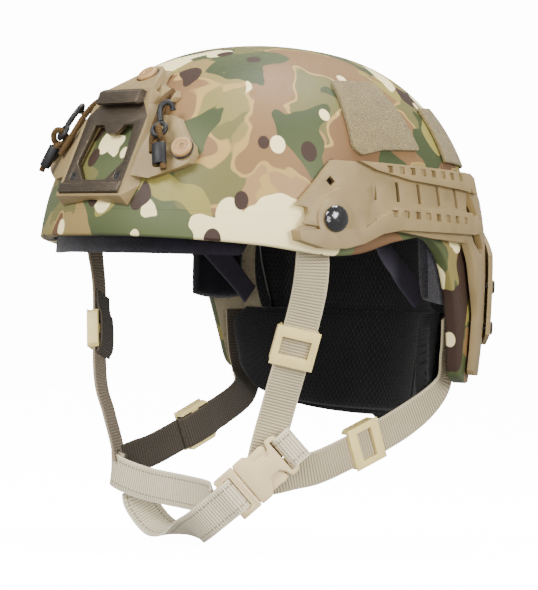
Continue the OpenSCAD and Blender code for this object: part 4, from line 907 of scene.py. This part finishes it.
def tube(name, points, diameter, sides, steps=8):
    """A round cord through points, closed at both ends."""
    def across(u, station, ahead):
        side = ahead.cross(ASIDE).normalized()
        other = ahead.cross(side)
        return (side * cos(2 * pi * u) + other * sin(2 * pi * u)) * diameter / 2

    piece = swept(name, smooth_path([[Vector(p)] for p in points], steps), sides, 1, across)
    edit(piece, lambda: bpy.ops.mesh.remove_doubles(threshold=NEAR_CORD),
         lambda: bpy.ops.mesh.select_all(action="DESELECT"),
         lambda: bpy.ops.mesh.select_non_manifold(),
         lambda: bpy.ops.mesh.fill(), everything, face_out)
    smooth(piece, 50)
    return piece


def ribbon(name, route, width=WEB_W, thick=WEB_T, steps=14):
    """Flat webbing through (point, way its width lies) stations."""
    def across(u, station, ahead):
        level = station[1] - ahead * station[1].dot(ahead)
        return level.normalized() * (u - 0.5) * width

    path = smooth_path([[Vector(p), Vector(w)] for p, w in route], steps)
    piece = swept(name, path, 8, width * MM, across)
    modify(piece, "SOLIDIFY", thickness=thick * MM, offset=0)
    bevel(piece, thick * 0.36, 50)
    smooth(piece, 60)
    return piece


# Buckle's frame: X across, Y along the chin strap, Z out of its face
BUCKLE_AT, CHIN_WAY = Vector((61.5, -53.5, -131)), Vector((0.47, 0.55, 0.69))
BUCKLE_Z = Vector((0.735, -0.677, -0.034)).normalized()
BUCKLE_X = CHIN_WAY.cross(BUCKLE_Z).normalized()
BUCKLE_Y = BUCKLE_Z.cross(BUCKLE_X)


def buckle_point(x, y, z):
    return BUCKLE_AT + BUCKLE_X * x + BUCKLE_Y * y + BUCKLE_Z * z


# The straps' upper ends: their gap from the shell's inside, and where their middle lies
STRAP_GAP = 2.9
HANG = -SHELL_WALL - STRAP_GAP - WEB_T / 2
# The lower chin band's fold through the prong, as (along, out) in the buckle's frame
PRONG_FOLD = [(-51, -12.5), (-46.5, -4), (-40, 1.6), (-32, 5.2), (-27, 7.8), (-22.2, 9.9), (-17.6, 8.8),
              (-15.9, 4.4), (-17.2, 0.2), (-22.4, -1.7), (-30, -0.8)]
# Each band's stations: a point, and the way its width lies there
ROUTES = {
    "strap_front_left": [
        (shell_at(68, 24, HANG), (0.3, 0.95, 0)), (shell_at(68, 2, HANG), (0.35, 0.94, 0)),
        ((92, -51.5, -30), (0.64, 0.77, 0)), ((69.2, -47.7, -88), (0.64, 0.77, 0)),
        ((63.3, -49.6, -112), (0.66, 0.75, 0)), ((60.6, -50.9, -127), (0.66, 0.75, 0)),
    ],
    "strap_front_right": [
        (shell_at(-68, 24, HANG), (-0.35, 0.94, 0)), (shell_at(-68, 2, HANG), (-0.4, 0.92, 0)),
        ((-93.5, -53, -28), (-0.5, 0.87, 0)), ((-80, -60, -80), (-0.5, 0.87, 0)),
        ((-75, -56, -102), (-0.5, 0.87, 0)), ((-71, -52, -120), (-0.5, 0.87, 0)),
        ((-69.5, -50, -131), (-0.5, 0.87, 0)),
    ],
    "strap_rear_left": [
        (shell_at(121, -34, HANG), (-0.45, 0.89, 0)),
        (shell_at(124.5, -56, HANG - 1), (-0.45, 0.89, -0.1)), ((84, 69, -78), (-0.3, 0.8, -0.5)),
        ((80, 40, -100), (0, 0.4, -0.92)), ((75.5, -14, -124), (0, 0.4, -0.92)),
        ((67.6, -34.7, -130.5), (0, 0.25, -0.97)), ((60.6, -44.7, -134), (-0.1, 0.2, -0.97)),
    ],
    "strap_rear_right": [
        (shell_at(-121, -34, HANG), (0.45, 0.89, 0)),
        (shell_at(-122, -56, HANG - 1), (0.45, 0.89, -0.1)), ((-86.5, 67, -79), (0.3, 0.8, -0.5)),
        ((-74.5, 44, -94.3), (0, 0.42, -0.91)), ((-72, -14, -121.5), (0, 0.42, -0.91)),
        ((-72.4, -34, -128.5), (0, 0.2, -0.97)), ((-72.6, -45, -132.4), (0, 0.1, -0.98)),
        ((-70, -51, -134.6), (0, 0.03, -1)), ((-62, -53, -137), (0, 0, -1)),
    ],
    "chin_band_upper": [
        ((-74.6, -42, -132.6), (0, 0, 1)), ((-74.2, -49.5, -134.6), (0, 0, 1)),
        ((-70, -54.2, -136.6), (0, 0, 1)), ((-58, -55.2, -140), (0, 0, 1)),
        ((-37, -54, -143.7), (0, 0, 1)), ((-3, -55, -146), (0, 0, 1)),
        ((27, -60.5, -147.5), (-0.1, -0.2, 0.95)), ((44, -69.5, -150), (-0.3, -0.4, 0.86)),
    ],
    "chin_band_lower": [
        ((-58, -43.7, -149.5), (0.1, 0.3, 0.95)), ((-54.5, -44, -156.5), (0.3, 0.6, 0.7)),
        ((-40, -42, -168.5), (0.2, 0.8, 0.5)), ((-19, -44, -171.5), (0.25, 0.95, 0.1)),
        ((-1, -53.5, -170), (0.4, 0.85, -0.3)), ((15, -64.5, -167.5), (0.45, 0.7, -0.55)),
    ] + [(buckle_point(0, y, z), BUCKLE_X) for y, z in PRONG_FOLD],
}
# The two far straps show their inner sides, which get darker copies of the webbing: painted shade
INNER_SIDES = {"strap_front_right": WEB_MID_PAINTED_SHADE, "strap_rear_right": WEB_FAR_PAINTED_SHADE}
for node, route in ROUTES.items():
    piece = ribbon(node + "_web", route)
    inner = INNER_SIDES.get(node)
    for face in piece.data.polygons:
        face.material_index = 1 if inner and face.normal.x > 0 else 0
    paints = [WEB_CHIN if "chin" in node else WEB_NEAR] + ([inner] if inner else [])
    finished(piece, node, paints=paints)

# The right fit band's stations, from the shell to the nape support, and its width and thickness
BAND_ROUTE = [
    (shell_at(-82, 36, -SHELL_WALL - 3.4), (0, -0.6, 0.8)),
    ((-90, -6, 26), (0, -0.55, 0.83)),
    ((-79, 12, 12), (0, -0.55, 0.83)),
    ((-76, 34, -6), (0, -0.6, 0.8)),
    ((-76, 57, -25), (0, -0.6, 0.8)),
]
BAND_W, BAND_T = 14, 1.4
for side, word in ((1, "right"), (-1, "left")):
    route = [((p[0] * side, p[1], p[2]), (w[0] * side, w[1], w[2])) for p, w in BAND_ROUTE]
    finished(ribbon("fit_band_" + word + "_web", route, BAND_W, BAND_T), "fit_band_" + word, paints=[BAND])

# The left bungee over the shroud, as (x, z, height off the front): its long part, and the loop at its end
BUNGEE_LONG = [
    (26.2, 83.8, 4.2), (26.5, 81.5, 5), (27.3, 78.5, 6.8), (28.9, 75, 8.2), (30.8, 70.5, 8.6),
    (32.2, 66, 8.5), (33.2, 61, 8.4), (34.6, 56.2, 8.3), (36.3, 51.5, 8.2), (38.2, 47.5, 8.1), (39, 45.5, 8),
]
BUNGEE_LOOP = [
    (46.2, 37, 11.6), (44, 42.4, 11.6), (41.4, 48.8, 11.5), (40.5, 51.2, 9.4), (39.9, 53.6, 8.4),
    (39.7, 55.6, 9.4), (39.8, 56.5, 12), (40.2, 56.7, 14.2), (41.2, 55.9, 15.7), (42.6, 53.8, 15.8),
    (43.8, 51.8, 14), (44.8, 50.2, 11.7), (47.4, 43.8, 11.6), (50, 37.4, 11.6), (50.9, 35.2, 11.4),
]
BUNGEE_D, LACE_D = 3.6, 2
for side, word in ((1, "left"), (-1, "right")):
    strands = []
    for name, route in (("_cord", BUNGEE_LONG), ("_loop", BUNGEE_LOOP)):
        points = [on_front(*p) for p in route]
        points = [(p.x * side, p.y, p.z) for p in points]
        strands.append(tube("bungee_" + word + name, points, BUNGEE_D, sides=14, steps=6))
    finished(joined(*strands), "bungee_" + word, paints=[CORD])

# The left lace, from the shell's inside down to the nape support
LACE = [
    shell_at(120, 52, -SHELL_WALL - 1.4), (74, 56, 40), (75, 61, 20), (76, 65, 0), (77, 73, -20),
    (77.5, 78.5, -34), (77.3, 80.8, -54),
]
lace = joined(tube("lace_left_cord", LACE, LACE_D, sides=10),
              tube("lace_right_cord", [(-p[0], p[1], p[2]) for p in LACE], LACE_D, sides=10))
lace.name = "lace_cords"
finished(lace, "lace", paints=[GLOSS])


# Pads
def crown(a, swell):
    """Fullness from 1 in the middle to 0 at the edges; a larger swell keeps it full further out."""
    return max(0.0, 1 - abs(a) ** swell) ** (1 / swell)


def cushion(name, place, grid, size, swell):
    """A closed crowned form: the front and back of place(across, along, fullness) sewn at the edge."""
    def front(u, v):
        a, b = 2 * u - 1, 2 * v - 1
        return place(a, b, crown(a, swell) * crown(b, swell))

    def back(u, v):
        return place(2 * u - 1, 2 * v - 1, 0.0)

    piece = joined(surface(name, front, *grid, size), surface(name + "_back", back, *grid, size))
    weld(piece, NEAR_PAD)
    smooth(piece, 75)
    return piece


def grip(a, b, square):
    """Square sheet to a rounded outline."""
    k = 1 - square * a * a * b * b
    return a * k, b * k


# The nape cushion's two sewn grooves: place, half width and depth, as shares of the cushion
GROOVE_AT, GROOVE_HALF, GROOVE_DEEP = 0.52, 0.016, 0.16


def nape_form(a, b, edge):
    a, b = grip(a, b, 0.07)
    turn = a * NAPE_TURN
    low = nape_low(turn) + 1.0
    z = blend(low, NAPE_TOP, (b + 1) / 2)
    groove = GROOVE_DEEP * (abs(abs(a) - GROOVE_AT) < GROOVE_HALF) * edge
    return nape_at(180 - turn, z, NAPE_T * (1 - edge * (0.92 - groove)) + 0.2)


def liner_form(turn_of, low, high, thick=PAD_T, full=lambda a: 1.0):
    """A pad that follows the shell's inside between two heights."""
    def form(a, b, edge):
        a, b = grip(a, b, 0.06)
        return shell_at(turn_of(a), blend(low, high, (b + 1) / 2), PAD_BACK - thick * edge * full(a))
    return form


def side_form(side):
    """The side pads are half as thick as the others."""
    return liner_form(lambda a: side * (112 - 8.8 * a), -28, 44, thick=0.5 * PAD_T)


def rear_fill(a):
    """The rear pad thins towards its ends, where the lace passes."""
    s = min(1.0, max(0.0, (abs(a) - 0.68) / 0.14))
    return 1 - 0.6 * (3 * s * s - 2 * s ** 3)


def crown_form(a, b, edge):
    """The crown pad, laid under the shell's top."""
    a, b = grip(a, b, 0.16)
    x, y = -a * 45, 6 + b * 59
    return Vector((x, y, top_z(x, y, PAD_BACK - PAD_T * edge)))


# Pads: name, form, columns and rows, size of the map, swell, node and paint
PADS = (
    ("nape_cushion", nape_form, (120, 44), (215, 70), 6, "nape_pad", MESH),
    ("brow_cushion", liner_form(lambda a: 49.5 * a, -8.5, 29.5), (90, 24), (200, 40), 5, "brow_pad", SUEDE),
    ("crown_cushion", crown_form, (48, 60), (90, 120), 4, "crown_pad", MESH),
    ("side_cushion_left", side_form(1), (32, 48), (40, 74), 4, "side_pad_left", SUEDE),
    ("side_cushion_right", side_form(-1), (32, 48), (40, 74), 4, "side_pad_right", SUEDE),
    ("rear_cushion", liner_form(lambda a: 180 - 54.5 * a, -34, 35, full=rear_fill), (120, 40), (220, 66), 5,
     "rear_pad", MESH),
)
for *form, node, paint in PADS:
    pad = finished(cushion(*form), node, paints=[paint])


def backing_form(a, b, edge):
    """The cloth behind the nape cushion."""
    a, b = grip(a, b, 0.07)
    turn = 0.6 * NAPE_TURN * a
    z = blend(nape_low(turn) - 2.0, NAPE_TOP - 4.5, (b + 1) / 2)
    return nape_at(180 - turn, z, NAPE_T + 0.5 + 1.7 * (1 - edge))


backing = cushion("nape_backing_cloth", backing_form, (70, 30), (140, 62), 8)
finished(backing, "nape_backing", paints=[SUEDE])


# Loop patches: the pile's thickness, its rounded edge, and its foot's distance from the shell
PILE_T, PILE_EDGE, PILE_OFF = 2.1, 0.7, 0.3
# The patches' rounded corners, and the grid that they are cut into so that they bend with the shell
CORNER_R, GRID_STEP = 2.2, 2.2


def thicken(piece):
    modify(piece, "SOLIDIFY", thickness=PILE_T * MM, offset=1)


def soften(piece):
    bevel(piece, PILE_EDGE, 50)
    smooth(piece, 60)


def patch(name, outline, place):
    """A flat sheet cut to an outline, shaped onto the shell and given its pile."""
    piece = flat(name, [(y, z, 0) for y, z in outline])
    edit(piece, lambda: bpy.ops.mesh.bevel(offset=CORNER_R, segments=4, affect="VERTICES"))
    for axis in (0, 1):
        reach = [point[axis] for point in outline]
        normal = [0, 0, 0]
        normal[axis] = 1
        for k in range(int((max(reach) - min(reach)) / GRID_STEP) + 1):
            point = [0, 0, 0]
            point[axis] = min(reach) + k * GRID_STEP
            edit(piece, lambda: bpy.ops.mesh.bisect(plane_co=point, plane_no=normal))
    for vertex in piece.data.vertices:
        vertex.co = Vector(place(vertex.co.x, vertex.co.y)) * MM
    edit(piece, face_out)
    thicken(piece)
    weld(piece)
    soften(piece)
    return piece


SIDE_PATCH = [(-28, 97), (6, 99.5), (15, 79), (21, 60.5), (-11, 58.3), (-28, 53.8), (-33, 58.5), (-31, 78)]
for side, word in ((1, "left"), (-1, "right")):
    piece = patch("side_loop_" + word + "_pile", SIDE_PATCH,
                  lambda y, z: (side * side_x(y, z, PILE_OFF), y, z))
    finished(piece, "side_loop_" + word, paints=[LOOP])


# The rear patch: its two ends, its lower edge, and its upper edge in the middle with its fall to the sides
REAR_FROM, REAR_TO, REAR_LOW, REAR_HIGH, REAR_FALL = 111.5, 248.5, 56, 95.5, 0.12


def rear_loop_place(u, v):
    turn = blend(REAR_FROM, REAR_TO, u)
    return shell_at(turn, blend(REAR_LOW, REAR_HIGH - REAR_FALL * abs(turn - 180), v), PILE_OFF)


rear_patch = surface("rear_loop_pile", rear_loop_place, 110, 24)
thicken(rear_patch)
edit(rear_patch, face_out)
soften(rear_patch)
finished(rear_patch, "rear_loop", paints=[LOOP])


# Buckle
def slab(name, outline, low, high, round_off=0.0):
    """A plate between two heights in the buckle's frame, cut to a mirrored outline."""
    points = outline + [(-x, y) for x, y in reversed(outline)]
    piece = flat(name, [buckle_point(x, y, low) * MM for x, y in points])
    up = {"value": BUCKLE_Z * (high - low) * MM}
    edit(piece, lambda: bpy.ops.mesh.extrude_region_move(TRANSFORM_OT_translate=up), everything, face_out)
    if round_off:
        bevel(piece, round_off, 35, 3)
    return piece


def cut(piece, tool):
    """Takes the tool's form out of the piece."""
    modify(piece, "BOOLEAN", operation="DIFFERENCE", object=tool, solver="EXACT")
    pick(tool)
    bpy.ops.object.delete()


# Plates of the buckle: half outline, lower and upper height, and rounding
SOCKET = ([(14, -10), (14, -2), (10.2, 1.2), (6, 3.4), (5.4, 9.8), (8.4, 12), (13, 13.4), (13, 17.5),
           (11.6, 20.2), (9, 21)], 0, 9, 1.1)
SOCKET_ROOM = ([(12.6, -12), (12.6, 12.4)], 1.4, 7.6)
SOCKET_SLOT = ([(10.2, 15.4), (10.2, 18.2)], -2, 11)
PRONG_ARM = ([(2.2, -12.5), (2.2, 6), (2.6, 9), (1.6, 11), (0.4, 11.8)], 1.8, 7.2, 0.7)
# The socket's fine bevel, and how far each arm is from the middle
SOCKET_EDGE, ARM_X = 0.35, 10.1

socket = slab("buckle_socket_part", *SOCKET)
cut(socket, slab("socket_room", *SOCKET_ROOM))
cut(socket, slab("socket_slot", *SOCKET_SLOT))
bevel(socket, SOCKET_EDGE, 35, material=1)
smooth(socket, 40)
finished(socket, "buckle_socket", paints=[BUCKLE_TAN, BUCKLE_EDGE])

prong = bpy.data.objects["buckle_prong_part"]
for side in (1, -1):
    arm = slab("prong_arm", *PRONG_ARM)
    arm.data.transform(Matrix.Translation(BUCKLE_X * side * ARM_X * MM))
    give(arm, [BUCKLE_TAN, BUCKLE_EDGE])
    smooth(arm, 40)
    joined(prong, arm)

# The tab's way through the socket's slot, as (along, out) in the buckle's frame
TAB = [(17.6, 1.6), (17.2, 5.5), (19, 8.8), (22, 9.4), (27.4, 8.6), (29, 7.1), (27.6, 5.6), (24, 5.4),
       (22.6, 4.2), (24, 3.0), (28.6, 2.6)]
TAB_T = 1.5
tab_route = [(buckle_point(0, y, z), BUCKLE_X) for y, z in TAB]
tab = ribbon("buckle_tab_web", tab_route, WEB_W, TAB_T, steps=8)
finished(tab, "buckle_tab", paints=[WEB_CHIN])


# Webbing folded over the inner side of each far slider, as (along, inward) from the slider's middle
FOLD = [(-24, 2.5), (-17, 2.6), (-12.6, 3.4), (-9.5, 4.6), (0, 5.0), (9.5, 4.5), (13, 2.7), (15, 2.2)]
FOLD_W, FOLD_T = WEB_W - 0.6, WEB_T - 0.2
# The far sliders: their strap and body, and the station and share of the way on where each sits
FAR_SLIDERS = (("strap_front_right", "slider_fr", 2, 0.5), ("strap_rear_right", "slider_rr", 3, 0.52))


def fold_over(node, body, i, share):
    """Adds the fold, and gives the slider half a turn about the strap's direction."""
    (start, first_wide), (end, last_wide) = ROUTES[node][i:i + 2]
    start, end = Vector(start), Vector(end)
    ahead = (end - start).normalized()
    wide = Vector(first_wide) + Vector(last_wide)
    wide = (wide - ahead * wide.dot(ahead)).normalized()
    inward = wide.cross(ahead)
    inward *= 1 if inward.x > 0 else -1
    middle = start.lerp(end, share)
    route = [(middle + ahead * along + inward * off, wide) for along, off in FOLD]
    piece = ribbon("fold_" + body, route, FOLD_W, FOLD_T, steps=6)
    # The fold takes the darker far webbing: painted shade
    finished(piece, paints=[WEB_FAR_PAINTED_SHADE], body=body)
    middle *= MM
    turn = Matrix.Translation(middle) @ Matrix.Rotation(pi, 4, ahead) @ Matrix.Translation(-middle)
    bpy.data.objects[node.replace("strap", "slider") + "_part"].data.transform(turn)


for far in FAR_SLIDERS:
    fold_over(*far)
